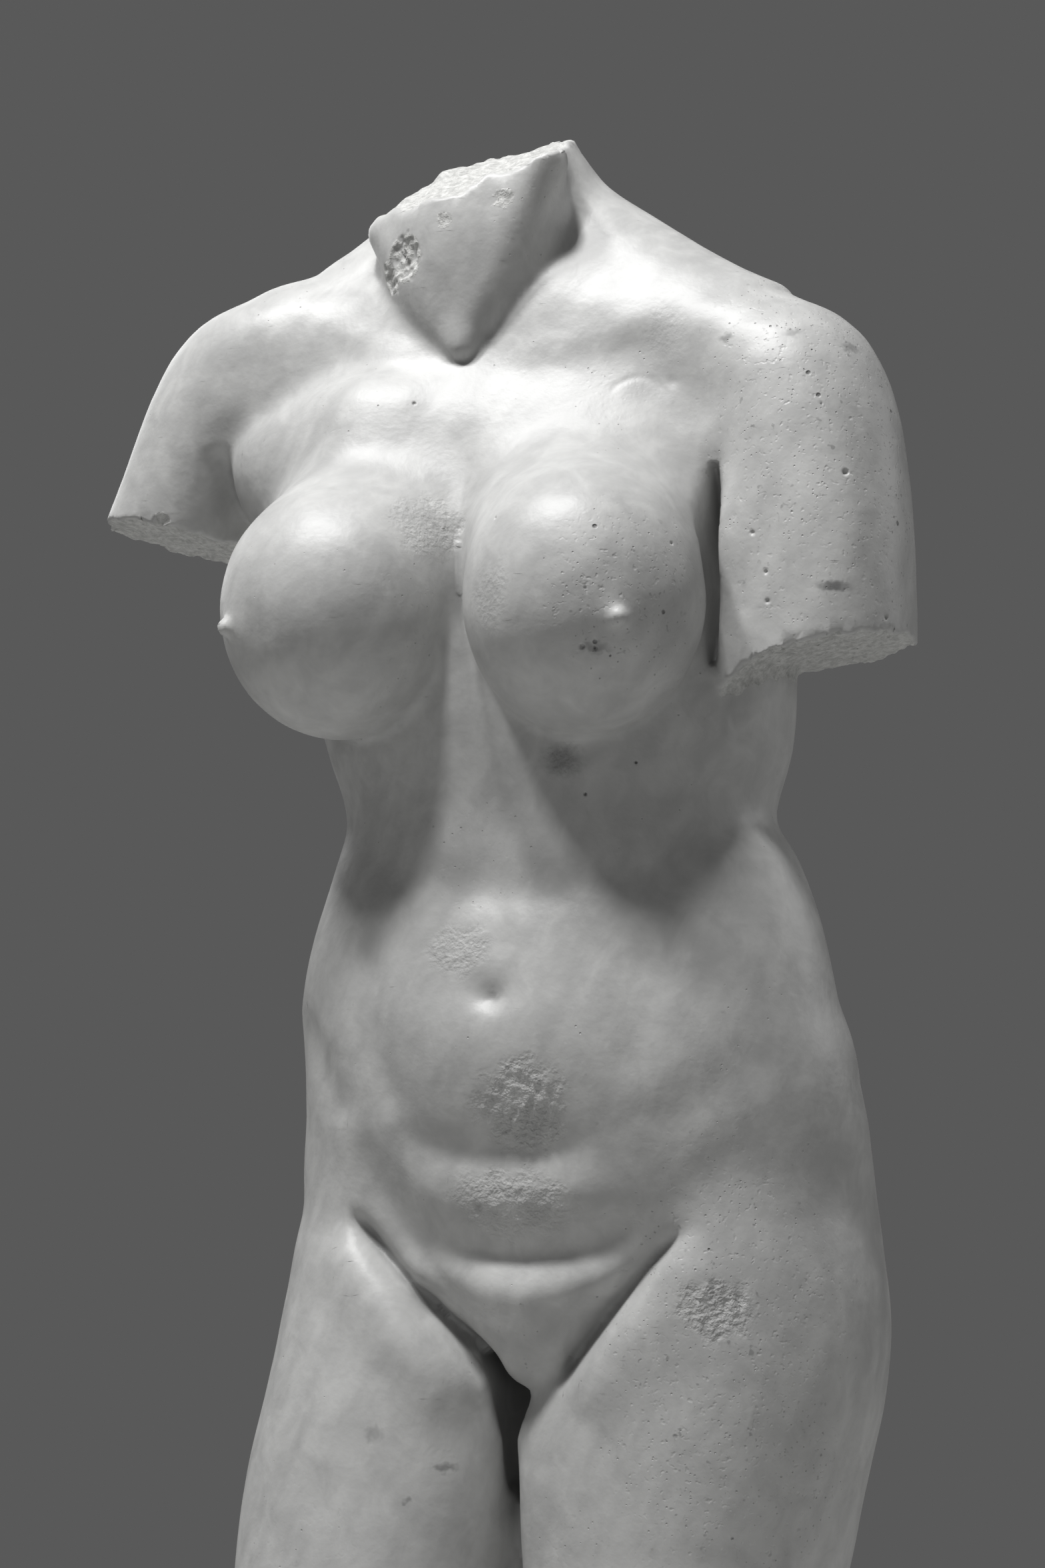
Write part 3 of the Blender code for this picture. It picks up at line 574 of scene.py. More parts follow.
print("folds over the belly:", len((WAIST, BELLY_FOLD, LOW_FOLD)))

# %% Back, knees and ankles
def carving(form, p):
    """All strokes: front, spine, buttocks, shoulder blades, knees and ankles."""
    carve_front(form, p)
    spine = ((-22, 1400), (-12, 1330), (0, 1250), (10, 1160), (19, 1080), (28, 1000), (36, 935))
    carve(form, p, BACK, spine, 16, 8)
    carve(form, p, BACK, ((37, 915), (37, 870), (37, 820), (37, 775), (37, 750)), 9, 16)
    for x in (-62, 62):
        swell(form, p, (x - 4, 108, 1268), (36, 30, 56), 8)
        swell(form, p, (PELVIS_X + 0.55 * x, 90, 932), (10, 30, 11), -3)
    carve(form, p, BACK, ((44, 784), (70, 772), (102, 770), (138, 786)), 13, 7)
    carve(form, p, BACK, ((30, 776), (4, 764), (-30, 761), (-68, 777)), 13, 7)
    for x, y in ((88, -56), (-67, -118)):
        swell(form, p, (x, y - 8, 470), (22, 24, 26), 6)
        swell(form, p, (x - 31, y + 6, 474), (11, 20, 26), -4)
        swell(form, p, (x + 31, y + 6, 474), (11, 20, 26), -4)
        swell(form, p, (x, y - 2, 420), (14, 20, 16), 3)
    swell(form, p, (88, 52, 470), (20, 20, 40), -5)
    swell(form, p, (-67, -8, 466), (20, 20, 40), -5)
    for x, y, z in ((27, 22, 74), (88, 32, 66), (-48, 76, 122), (-106, 84, 116)):
        swell(form, p, (x, y, z), (11, 12, 12), 4)


chest_middle = np.array([[0, 0, 1250]], np.float32)
print("distance from the middle of the chest to the skin:", figure_form(chest_middle).round(0))

# %% [markdown]
# ## Marks of age
# Weather and the ground have eaten small patches of the polished skin, and left a few round
# holes and one curved scar below the collar bone. Flakes are struck off the rims of the
# breaks. The patches are shallow and pebbled. Cutting them into the form, and not only
# painting them, lets them catch the light from any side.

# %% Weathering
# Centre, reach across, in depth and up, and how deep the pebbling goes
PATCHES = (
    ((42, -106, 917), (30, 40, 32), 0.75),
    ((34, -98, 866), (46, 40, 24), 0.5),
    ((144, -83, 812), (24, 40, 20), 0.75),
    ((-18, -96, 1236), (24, 40, 24), 0.3),
    ((57, -83, 1106), (14, 40, 12), 0.4),
    ((2, -100, 1003), (24, 40, 16), 0.35),
    ((100, -38, 1345), (16, 40, 22), 0.12),
    ((40, -147, 1190), (16, 40, 22), 0.2),
)
# How far out of the skin the ball that cuts a hole is set
HOLE_OUT = 0.3
# Centre and radius of the round holes
HOLES = (
    ((207, -46, 1260), 1.9), ((157, -57, 1228), 1.4), ((165, -59, 1206), 1.3), ((166, -60, 1190), 1.5),
    ((225, -31, 1182), 1.4), ((38, -132, 1232), 1.1), ((-38, -68, 1310), 1.1), ((95, -147, 1190), 1.0),
    ((91, -141, 1160), 1.5), ((97, -138, 1159), 1.5), ((95, -71, 1104), 1.1), ((69, -80, 1087), 1.2),
    ((193, -46, 1298), 1.0), ((129, -108, 1217), 0.9),
)
SCAR = ((70, 1307), (75, 1316), (83, 1321), (92, 1320), (98, 1315), (103, 1308))
DENT = (105, -38, 1318)
# Flakes struck off the rims: centre, the radius of the ball that cuts the dish, and its depth
FLAKES = (
    ((-55, -60, 1397), 34, 3.2), ((-66, -48, 1388), 22, 2.2), ((11, -64, 1427), 9, 1.6),
    ((-24, -72, 1416), 8, 1.0), ((168, -60, 1157), 12, 1.8), ((203, -50, 1160), 9, 1.4),
    ((-214, -40, 1256), 10, 1.6),
)


def patch_share(p, centre, reach):
    """1 in the middle of a patch, falling to 0 at its edge, which wanders."""
    away = np.sum(((p - np.asarray(centre)) / np.asarray(reach)) ** 2, axis=1)
    return rise(-away + 0.22 * ripple(p, 13, 97), -1, -0.2)


def outside(centre, out):
    """A place moved onto the skin and then out from it, so that a ball there cuts a shallow dish."""
    at = np.array([centre], np.float32)
    steps = np.eye(3, dtype=np.float32)
    slope = np.array([(figure_form(at + step) - figure_form(at - step))[0] for step in steps]) / 2
    away = out - figure_form(at)[0] / np.linalg.norm(slope)
    return tuple(np.asarray(centre) + away * slope / np.linalg.norm(slope))


HOLES_OUTSIDE = tuple((outside(centre, HOLE_OUT), radius) for centre, radius in HOLES)
FLAKES_OUTSIDE = tuple((outside(centre, radius - depth), radius) for centre, radius, depth in FLAKES)


def worn_form(p):
    """The figure's form with the marks of age cut in."""
    p = p.astype(np.float32)
    form = figure_form(p)
    form += 0.22 * ripple(p, 60, 61) + 0.12 * ripple(p, 24, 62)
    for number, (centre, reach, depth) in enumerate(PATCHES):
        near = np.all(np.abs(p - np.asarray(centre)) < np.asarray(reach) * 1.3, axis=1)
        spot = p[near]
        pebbles = 0.6 + 0.4 * ripple(spot, 11, 70 + number) + 0.9 * ripple(spot, 5.5, 80 + number)
        form[near] += depth * pebbles * patch_share(spot, centre, reach)
    for centre, radius in HOLES_OUTSIDE + FLAKES_OUTSIDE:
        near = np.all(np.abs(p - np.asarray(centre)) < 2 * radius + 6, axis=1)
        uneven = 0.15 * radius**0.5 * (ripple(p[near], 9, 89) + ripple(p[near], 4, 90))
        hole = radius + uneven - np.linalg.norm(p[near] - np.asarray(centre), axis=1)
        form[near] = smooth_max(form[near], hole, 0.5)
    for crease in (GROIN_RIGHT, GROIN_LEFT, THIGHS_MEET):
        carve(form, p, FRONT, crease, 3.5, 2.5)
    carve(form, p, FRONT, SCAR, 2.2, 0.35)
    swell(form, p, DENT, (3.5, 20, 3.5), -0.5)
    return form


print("patches:", len(PATCHES), "holes:", len(HOLES), "flakes:", len(FLAKES))

# %% [markdown]
# ## From distance to skin
# The form is read on a grid of points. Every small cell of the grid that the skin crosses
# gets one mesh point, at the middle of the crossings, and four such points round each
# crossed grid line make a face: a surface net. Reading first on a coarse grid, and then only
# near the skin, saves most of the work.

# %% Grid
def skin(form, low, high, cell):
    """The surface where the form is zero: points, one in each cell it crosses, and four-sided faces.

    The form is first read on a grid four times coarser, and then only near the surface."""
    block = 4
    count = np.ceil((np.asarray(high) - low) / (cell * block)).astype(int)
    size = count * block + 1
    coarse = np.stack(np.meshgrid(*(np.arange(n + 1) for n in count), indexing="ij"), -1)
    at = (np.asarray(low) + coarse.reshape(-1, 3) * cell * block).astype(np.float32)
    rough = form(at).reshape(count + 1)
    near = np.zeros(count, bool)
    corners = [(i, j, k) for i in (0, 1) for j in (0, 1) for k in (0, 1)]
    for i, j, k in corners:
        part = rough[i : i + count[0], j : j + count[1], k : k + count[2]]
        near |= np.abs(part) < cell * block * 1.9
    grid = np.where(rough < 0, -1.0, 1.0).astype(np.float32)
    for axis in range(3):
        grid = np.repeat(grid, block, axis=axis)
    grid = grid[: size[0], : size[1], : size[2]].copy()
    wanted = np.zeros(size, bool)
    for i, j, k in np.argwhere(near):
        wanted[
            i * block : i * block + block + 1,
            j * block : j * block + block + 1,
            k * block : k * block + block + 1,
        ] = True
    index = np.argwhere(wanted)
    grid[wanted] = form((np.asarray(low) + index * cell).astype(np.float32))
    join_corners(grid, cell)
    return surface_net(grid, np.asarray(low), cell)


def join_corners(grid, cell):
    """Fills a grid point wherever the solid would meet itself along a bare edge or at a bare corner."""
    n = np.array(grid.shape) - 1

    def at(array, corner):
        return array[tuple(slice(c, c + m) for c, m in zip(corner, n))]

    while True:
        solid = grid < 0
        fill = np.zeros_like(solid)
        for axis in range(3):
            u, v = np.eye(3, dtype=int)[[(axis + 1) % 3, (axis + 2) % 3]]
            a, b, c, d = (at(solid, k) for k in (u * 0, u, u + v, v))
            at(fill, u)[a & c & ~b & ~d] = True
            at(fill, u * 0)[b & d & ~a & ~c] = True
        corners = [np.array((i, j, k)) for i in (0, 1) for j in (0, 1) for k in (0, 1)]
        count = sum(at(solid, k).astype(np.int8) for k in corners)
        for k in corners[:4]:
            here, far = at(solid, k), at(solid, 1 - k)
            at(fill, k)[(count == 6) & ~here & ~far] = True
            at(fill, np.array((k[0], k[1], 1 - k[2])))[(count == 2) & here & far] = True
        if not fill.any():
            break
        grid[fill] = -0.1 * cell


print("grid reader ready")

# %% Net
def surface_net(grid, low, cell):
    """A point in each cell that the skin crosses, and a face round each grid line that it crosses."""
    n = np.array(grid.shape) - 1
    total = np.zeros((*n, 3), np.float32)
    crossings = np.zeros(tuple(n), np.int32)
    corners = [(i, j, k) for i in (0, 1) for j in (0, 1) for k in (0, 1)]

    def at(i, j, k):
        return grid[i : i + n[0], j : j + n[1], k : k + n[2]]

    for a in corners:
        for axis in range(3):
            if a[axis]:
                continue
            b = tuple(1 if k == axis else v for k, v in enumerate(a))
            fa, fb = at(*a), at(*b)
            cut = (fa < 0) != (fb < 0)
            share = fa[cut] / (fa[cut] - fb[cut])
            where = np.array(a, np.float32)[None] + share[:, None] * np.eye(3, dtype=np.float32)[axis]
            total[cut] += where
            crossings[cut] += 1
    used = crossings > 0
    number = np.full(tuple(n), -1)
    number[used] = np.arange(used.sum())
    points = low + (np.argwhere(used) + total[used] / crossings[used][:, None]) * cell
    faces = []
    for axis in range(3):
        u, v = (axis + 1) % 3, (axis + 2) % 3
        inner = [slice(1, n[k]) for k in range(3)]
        inner[axis] = slice(0, n[axis])
        here = grid[tuple(inner)]
        ahead = list(inner)
        ahead[axis] = slice(1, n[axis] + 1)
        there = grid[tuple(ahead)]
        for out, cut in ((True, (here < 0) & (there >= 0)), (False, (here >= 0) & (there < 0))):
            cell_at = np.argwhere(cut)
            cell_at[:, u] += 1
            cell_at[:, v] += 1
            ring = []
            for du, dv in ((-1, -1), (0, -1), (0, 0), (-1, 0)):
                c = cell_at.copy()
                c[:, u] += du
                c[:, v] += dv
                ring.append(number[tuple(c.T)])
            ring = np.stack(ring, 1)
            faces.append(ring if out else ring[:, ::-1])
    return points, np.concatenate(faces)


def largest_piece(points, faces):
    """Keeps the one shell that has the most faces, and drops any small hollow sealed inside it."""
    label = np.arange(len(points))
    while True:
        lowest = label[faces].min(1)
        after = label.copy()
        np.minimum.at(after, faces.ravel(), np.repeat(lowest, 4))
        after = after[after]
        if (after == label).all():
            break
        label = after
    kept = label == np.bincount(label).argmax()
    number = np.cumsum(kept) - 1
    return points[kept], number[faces[kept[faces[:, 0]]]]


print("net ready")

# %% [markdown]
# ## Finer cells where the stone asks for them
# One cell size can't serve both a smooth thigh and the ragged rim of a break. So faces where
# the skin bends sharply, or that lie on a mark of age, are split in four, and every new
# point is then moved onto the exact form.

# %% Settling onto the form
def slope_of(form, points):
    """How fast the form rises along each axis at each point."""
    steps = 0.5 * np.eye(3, dtype=np.float32)
    return np.stack([form(points + step) - form(points - step) for step in steps], 1)


def settle(form, points, rounds=2):
    """Moves each point straight onto the skin, except in the bottom of a sharp fold."""
    points = points.astype(np.float32)
    for _ in range(rounds):
        slope = slope_of(form, points)
        steepness = (slope**2).sum(1)
        share = rise(steepness, 0.35, 0.75) / np.maximum(steepness, 0.3)
        points -= (np.clip(form(points), -2, 2) * share)[:, None] * slope
    return points


print("settling ready")

# %% Splitting faces
def split(points, faces, chosen):
    """Splits the chosen faces in four. Their neighbours take the new points on shared edges."""
    middles, added = {}, []

    def middle(a, b):
        key = (min(a, b), max(a, b))
        if key not in middles:
            middles[key] = len(points) + len(added)
            added.append((points[a] + points[b]) / 2)
        return middles[key]

    result = []
    for k in np.flatnonzero(chosen):
        a, b, c, d = faces[k]
        ab, bc, cd, da = middle(a, b), middle(b, c), middle(c, d), middle(d, a)
        centre = len(points) + len(added)
        added.append(points[[a, b, c, d]].mean(0))
        result += [[a, ab, centre, da], [ab, b, bc, centre], [centre, bc, c, cd], [da, centre, cd, d]]
    for k in np.flatnonzero(~chosen):
        ring = []
        for a, b in zip(faces[k], faces[k][1:] + faces[k][:1]):
            ring.append(a)
            if (min(a, b), max(a, b)) in middles:
                ring.append(middles[(min(a, b), max(a, b))])
        result.append(ring)
    return np.concatenate((points, np.array(added, np.float32))), result


print("splitting ready")

# %% [markdown]
# ## The figure's skin
# The grid gives cells of 6 units all over. The faces round the holes, the flakes and the
# scar are split three times, down to less than a millimetre. Then the faces that bend most
# are split, until the piece comes near its budget of triangles.

# %% Figure points and faces
CELL = 6.0
LOW_CORNER, HIGH_CORNER = (-320, -230, -70), (300, 220, 1500)
BUDGET = 196000


def triangles(faces):
    """How many triangles the faces make."""
    return sum(len(face) - 2 for face in faces)


points, quads = largest_piece(*skin(worn_form, LOW_CORNER, HIGH_CORNER, CELL))
points = settle(worn_form, points)
faces = quads.tolist()
print("points:", len(points), "triangles:", triangles(faces))

# %% Splitting round the marks of age
FINE_SPOTS = list(HOLES_OUTSIDE) + [(centre, (2 * radius * depth) ** 0.5) for centre, radius, depth in FLAKES]
FINE_SPOTS += [((x, -44, z), 2.5) for x, z in SCAR] + [(DENT, 3.0)]


def split_and_settle(points, faces, chosen):
    """Splits the chosen faces, and moves the new points onto the worn skin."""
    count = len(points)
    points, faces = split(points, faces, chosen)
    points[count:] = settle(worn_form, points[count:], 3)
    return points, faces


def face_middles(points, faces):
    """The middle of each face, and which faces have four sides."""
    four = np.array([len(face) == 4 for face in faces])
    first = np.array([face[:4] for face in faces])
    return points[first].mean(1), four


for reach in (5.0, 3.0, 1.5):
    middle, four = face_middles(points, faces)
    near = np.zeros(len(faces), bool)
    for centre, radius in FINE_SPOTS:
        near |= np.linalg.norm(middle - centre, axis=1) < radius * 1.3 + reach
    points, faces = split_and_settle(points, faces, near & four)
    print("cells round the marks are split, triangles:", triangles(faces))

# %% Splitting where the skin bends
def bend(points, faces):
    """How much the skin turns across each face: 0 is flat."""
    slope = slope_of(worn_form, points)
    normal = slope / np.maximum(np.linalg.norm(slope, axis=1), 1e-6)[:, None]
    first = np.array([face[:4] for face in faces])
    return 1 - np.linalg.norm(normal[first].mean(1), axis=1)


def patch_near(middle):
    """How deeply each place is eaten by the patches, 0 outside them all."""
    share = np.zeros(len(middle))
    for centre, reach, depth in PATCHES:
        share = np.maximum(share, patch_share(middle, centre, reach) * depth)
    return share


TRIANGLES_PER_SPLIT = 7.5
for share in (0.85, 1.0):
    middle, four = face_middles(points, faces)
    size = np.linalg.norm(points[[face[0] for face in faces]] - points[[face[2] for face in faces]], axis=1)
    seen = 1 + rise(middle[:, 2], 640, 760) * (1 + rise(-middle[:, 1], -40, 0))
    need = (bend(points, faces) + 0.08 * patch_near(middle)) * seen * (size / CELL) ** 2 * four
    wanted = int((BUDGET - triangles(faces)) * share / TRIANGLES_PER_SPLIT)
    chosen = need >= np.sort(need)[-wanted]
    points, faces = split_and_settle(points, faces, chosen)
    print("faces split:", chosen.sum(), "triangles:", triangles(faces))

# %% [markdown]
# ## What the finish needs to know
# Five numbers are kept at each mesh point. How far it lies behind the skin of the unbroken
# statue tells a broken face, which has its own rough finish, as a flake has. How near it is
# to a hole tells where dirt stays, and how hollow the place is tells where shade is painted
# into the folds. The last two say where the skin is eaten, and where tiny pits gather. Numbers
# on the mesh cost a render nothing, where the same shapes worked out in the finish would slow
# every ray.

# %% Broken, holed and hollow
DEEPEST = 20


def hollowness(points, reach=6.0):
    """Above zero in a fold, below zero on an edge, and about zero on a flat."""
    steps = reach * np.eye(3, dtype=np.float32)
    around = sum(figure_form(points + step) + figure_form(points - step) for step in steps)
    return np.clip((6 * figure_form(points) - around) / reach, -2, 2)


behind = np.clip(-figure_form(points, broken=False), 0, DEEPEST)
break_away = np.min([np.abs(cut(points)) for cut in (cut_left, cut_right, neck_break)], axis=0)
broken = behind * rise(-break_away, -6, -3)
flaked = np.max([size - np.linalg.norm(points - at, axis=1) for at, size in FLAKES_OUTSIDE], axis=0)
broken = np.maximum(broken, np.clip(2.5 * (flaked + 1.2), 0, DEEPEST))
holed = np.max([1.5 - np.linalg.norm(points - at, axis=1) / size for at, size in HOLES_OUTSIDE], axis=0)
hollow = hollowness(points)
print("points on broken faces:", (broken > 1).sum(), "in holes:", (holed > 0.5).sum())
print("points in folds:", (hollow > 0.3).sum())

# %% Eaten and pitted
# Where tiny pits gather: the left thigh, the left arm and shoulder, and the left breast
CROWDS = (
    ((146, -70, 780), (80, 90, 150)),
    ((190, -20, 1290), (80, 90, 170)),
    ((110, -130, 1190), (50, 70, 60)),
)
eaten = patch_near(points) / 0.9
pitted = 0.3 * np.clip(ripple(points, 90, 95), 0, 1)
for centre, reach in CROWDS:
    pitted = np.maximum(pitted, patch_share(points, centre, reach))
print("points in eaten patches:", (eaten > 0.2).sum(), "where pits gather:", (pitted > 0.5).sum())

# %% A piece from points and faces
def make_piece(name, points, faces, numbers):
    """A smooth piece that keeps the named numbers at its points."""
    mesh = bpy.data.meshes.new(name)
    mesh.from_pydata(points.tolist(), [], faces)
    mesh.shade_smooth()
    for label, values in numbers.items():
        layer = mesh.attributes.new(label, "FLOAT", "POINT")
        layer.data.foreach_set("value", np.asarray(values, np.float32))
    piece = bpy.data.objects.new(name, mesh)
    bpy.context.scene.collection.objects.link(piece)
    return piece


figure = make_piece(
    "carved_figure", points * UNIT + (FIGURE_X, 0, SOLE_HEIGHT), faces,
    {"broken": broken, "holed": holed, "hollow": hollow, "eaten": eaten, "pitted": pitted},
)
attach(figure, "root")
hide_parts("figure")
print("figure:", len(figure.data.vertices), "points")

# %% [markdown]
# ## The base
# The base is a plain block of a duller stone. Masons dress such a block flat near its
# arrises and leave the middle of each side a little rougher from the point chisel. It is
# made by the same net, from a box with a bed cut in its top for the slab, and with small
# chips knocked out of its upper arris.

# %% Base form
# A length in metres times these is the length, or half of it, in millimetres
MM, HALF_MM = 1000, 500
CHIPS = np.random.default_rng(11)
BASE_CHIPS = [
    (side * BASE_WIDTH * HALF_MM, along * BASE_DEPTH * HALF_MM, BASE_HEIGHT * MM - 1, size)
    for side in (-1, 1)
    for along, size in zip(CHIPS.uniform(-1, 1, 3), CHIPS.uniform(2.5, 6, 3))
] + [
    (along * BASE_WIDTH * HALF_MM, side * BASE_DEPTH * HALF_MM, BASE_HEIGHT * MM - 1, size)
    for side in (-1, 1)
    for along, size in zip(CHIPS.uniform(-1, 1, 4), CHIPS.uniform(2.5, 6, 4))
]


def base_form(p):
    """Distance to the base's surface, in millimetres."""
    p = p.astype(np.float32)
    half = np.array((BASE_WIDTH, BASE_DEPTH, BASE_HEIGHT)) * HALF_MM
    q = np.abs(p - (0, 0, half[2])) - half
    x, y, z = q.T
    arris = (x + y) * 0.7071 + 2
    top = (np.maximum(x, y) + p[:, 2] - 2 * half[2]) * 0.7071 + BASE_EDGE * HALF_MM
    form = np.maximum(np.maximum(np.maximum(x, y), z), np.maximum(arris, top))
    drafted = rise(np.maximum(-x, -y), 12, 22) * rise(half[2] - np.abs(p[:, 2] - half[2]), 12, 22)
    form += drafted * (0.9 + 0.6 * ripple(p, 13, 91) + 0.4 * ripple(p, 7, 92)) * (z < -10)
    inner = np.array((SLAB_WIDTH, SLAB_DEPTH)) * HALF_MM + BED_GAP * MM
    away = np.abs(p[:, :2] - (SLAB_X * MM, SLAB_Y * MM)) / inner
    reach = np.maximum((away**SLAB_SQUARENESS).sum(1) ** (1 / SLAB_SQUARENESS), 0.05)
    out = np.linalg.norm(away * inner, axis=1) * (1 - 1 / reach)
    bed = np.maximum(out, (BASE_HEIGHT - BED_DEPTH) * MM - p[:, 2])
    form = smooth_max(form, -bed, 1.5)
    for *centre, size in BASE_CHIPS:
        form = smooth_max(form, size - np.linalg.norm((p - centre) / (1, 1, 0.8), axis=1), 1)
    return form


print("chips in the arris:", len(BASE_CHIPS))

# %% Base piece
BASE_CELL, MARGIN = 6.0, 9
low = (-BASE_WIDTH * HALF_MM - MARGIN, -BASE_DEPTH * HALF_MM - MARGIN, -MARGIN)
high = (BASE_WIDTH * HALF_MM + MARGIN, BASE_DEPTH * HALF_MM + MARGIN, BASE_HEIGHT * MM + MARGIN)
points, quads = largest_piece(*skin(base_form, low, high, BASE_CELL))
points = settle(base_form, points)
limits = np.array((BASE_WIDTH * HALF_MM, BASE_DEPTH * HALF_MM, BASE_HEIGHT * MM))
points = np.clip(points, (-limits[0], -limits[1], 0), limits)
base = make_piece("base_block", points / MM, quads.tolist(), {})
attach(base, "root")
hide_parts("base")
print("base:", len(points), "points,", triangles(quads.tolist()), "triangles")

# %% [markdown]
# ## Finishes as expressions
# A procedural finish is arithmetic on fields: numbers that vary over the surface. This small
# class wraps one socket of a material, so that a sum written in Python adds the node that
# does it. Every other node comes from its `add` method.

# %% Fields
class Field:
    """One output of a material's node. Numbers use Math nodes, and vectors use Vector Math."""

    def __init__(self, tree, socket=None):
        self.tree, self.socket = tree, socket

    def add(self, kind, settings=None, sockets=None, out=0):
        """Adds a node: its type, its settings, and the values or links of its sockets."""
        node = self.tree.nodes.new("ShaderNode" + kind)
        for name, value in (settings or {}).items():
            setattr(node, name, value)
        for name, value in (sockets or {}).items():
            if isinstance(value, Field):
                self.tree.links.new(value.socket, node.inputs[name])
            else:
                node.inputs[name].default_value = value
        return Field(self.tree, node.outputs[out])

    def sum_node(self, operation, a, b):
        """Adds the node for one sum, with a plain number spread over three axes beside a vector."""
        fields = [v for v in (a, b) if isinstance(v, Field)]
        vector = any(v.socket.type != "VALUE" for v in fields)
        if vector:
            a, b = ((v, v, v) if isinstance(v, (int, float)) else v for v in (a, b))
        return self.add("VectorMath" if vector else "Math", {"operation": operation}, {0: a, 1: b})

    def __add__(self, other):
        return self.sum_node("ADD", self, other)

    def __radd__(self, other):
        return self.sum_node("ADD", other, self)

    def __sub__(self, other):
        return self.sum_node("SUBTRACT", self, other)

    def __rsub__(self, other):
        return self.sum_node("SUBTRACT", other, self)

    def __mul__(self, other):
        return self.sum_node("MULTIPLY", self, other)

    def most(self, other):
        return self.sum_node("MAXIMUM", self, other)

    def other(self, name):
        """Another output of the same node."""
        return Field(self.tree, self.socket.node.outputs[name])

    def length(self):
        return self.add("VectorMath", {"operation": "LENGTH"}, {0: self}, "Value")

    def ramp(self, start, end, low=0.0, high=1.0):
        """Goes smoothly from low at start to high at end."""
        settings = {"interpolation_type": "SMOOTHSTEP"}
        return self.add("MapRange", settings, {0: self, 1: start, 2: end, 3: low, 4: high})

    def noise(self, scale, detail=3.0, rough=0.5, distortion=0.0):
        """Clouds about 1 / scale metres across, around 0.5."""
        sockets = {"Scale": scale, "Detail": detail, "Roughness": rough, "Distortion": distortion}
        return self.add("TexNoise", {}, {"Vector": self, **sockets})

    def cells(self, scale):
        """The distance to the nearest of many scattered points, one in each cell."""
        return self.add("TexVoronoi", {}, {"Vector": self, "Scale": scale}, "Distance")

    def along(self, way):
        return self.add("VectorMath", {"operation": "DOT_PRODUCT"}, {0: self, 1: way}, "Value")

    def tint(self, first, second):
        """The colour first where this field is 0, and second where it is 1."""
        return self.add("Mix", {"data_type": "RGBA"}, {0: self, 6: first, 7: second}, 2)


def start_finish(name):
    """A new material, its shader, and the place on the object as a field."""
    material = bpy.data.materials.new(name)
    material.use_nodes = True
    tree = material.node_tree
    place = Field(tree).add("TexCoord", out="Object")
    return material, tree.nodes["Principled BSDF"], place


def plug(shader, name, field):
    """Links a field to one socket of the shader."""
    field.tree.links.new(field.socket, shader.inputs[name])


print("field class ready")

# %% [markdown]
# ## Marble: the colour of age
# Old marble is never one grey. There are wide clouds from the ground it lay in, faint
# bands of bedding that run steeply down through the block, a mottle the size of a thumb
# nail, and dark specks. Each is one noise, and they are added before any colour is chosen.

# %% Clouds, bands and specks
marble, shader, place = start_finish("aged_marble")
BEDDING = Vector((-0.45, -0.18, -0.87)).normalized()


def stretched(place, way, share):
    """Coordinates that change slowly along a direction, so that a noise makes bands along it."""
    along = place.along(way) * share
    steps = [along * component for component in way]
    return place - place.add("CombineXYZ", {}, dict(enumerate(steps)))


def on_mesh(place, name):
    """A number that the mesh keeps at its points."""
    return place.add("Attribute", {"attribute_name": name}, out="Fac")


warp = place.noise(9, 1) * 0.012
bands = stretched(place + warp, BEDDING, 0.86).noise(62, 2, 0.55)
clouds = place.noise(7.5, 2, 0.55)
mottle = place.noise(48, 4, 0.62, 0.6)
grain = place.noise(420, 1, 0.6)
specks = place.noise(150, 2, 0.7).ramp(0.66, 0.74) * on_mesh(place, "pitted")
print("colour fields made:", len(marble.node_tree.nodes), "nodes")

# %% [markdown]
# ## Marble: pits
# Weathered marble is pricked with tiny pits. Voronoi cells scatter one possible pit in each
# cell, and each cell's own random colour decides whether it is there, and how big. A number
# kept on the mesh gathers them on the left shoulder, arm, breast and thigh, and there the
# skin between them is softly dimpled too.

# %% Pits
def pits(place, scale, share, crowd):
    """1 in the middle of a pit, 0 between pits. Share is how many of the cells have one, at most."""
    distance = place.cells(scale)
    chance = distance.add("SeparateColor", {}, {0: distance.other("Color")})
    radius = 0.13 + chance.other("Green") * 0.17
    present = (crowd * share - chance).ramp(0, 0.02)
    return distance.ramp(radius * 0.35, radius, 1, 0) * present


crowd = on_mesh(place, "pitted")
small_pits = pits(place, 400, 0.3, crowd)
large_pits = pits(place + 0.31, 170, 0.06, crowd.ramp(0.4, 1.0))
dimples = place.noise(330, 1).ramp(0.58, 0.9)
print("colour and pit fields:", len(marble.node_tree.nodes), "nodes")

# %% [markdown]
# ## Marble: stains
# A few flat stains have colour alone: rusty or sooty marks a finger wide, with ragged edges.
# Each is a soft oval round a place on the figure, and the place is first shaken by a noise.

# %% Stains
# Centre, reach and strength of each stain
STAINS = (
    ((202, -54, 1197), (11, 20, 4.5), 0.8), ((137, -40, 1340), (5, 20, 3.5), 0.6),
    ((175, -37, 1340), (7, 20, 4), 0.4), ((202, -20, 1333), (6, 20, 4), 0.5),
    ((57, -83, 1106), (16, 30, 12), 0.55), ((-9, -92, 724), (9, 20, 3.5), 0.6),
    ((-46, -102, 742), (7, 20, 6), 0.35), ((-26, -102, 707), (3, 20, 2.5), 0.5),
    ((97, -138, 1159), (10, 20, 4), 0.5), ((-97, -140, 1190), (14, 24, 20), 0.2),
)


def here(point):
    """A point counted in units from the soles, as a place in metres."""
    x, y, z = point
    return (x * UNIT + FIGURE_X, y * UNIT, z * UNIT + SOLE_HEIGHT)


def blob(place, centre, reach):
    """1 at the centre, falling to 0 at the reach in each direction."""
    size = tuple(1 / (r * UNIT) for r in reach)
    return ((place - here(centre)) * size).length().ramp(1, 0.25)


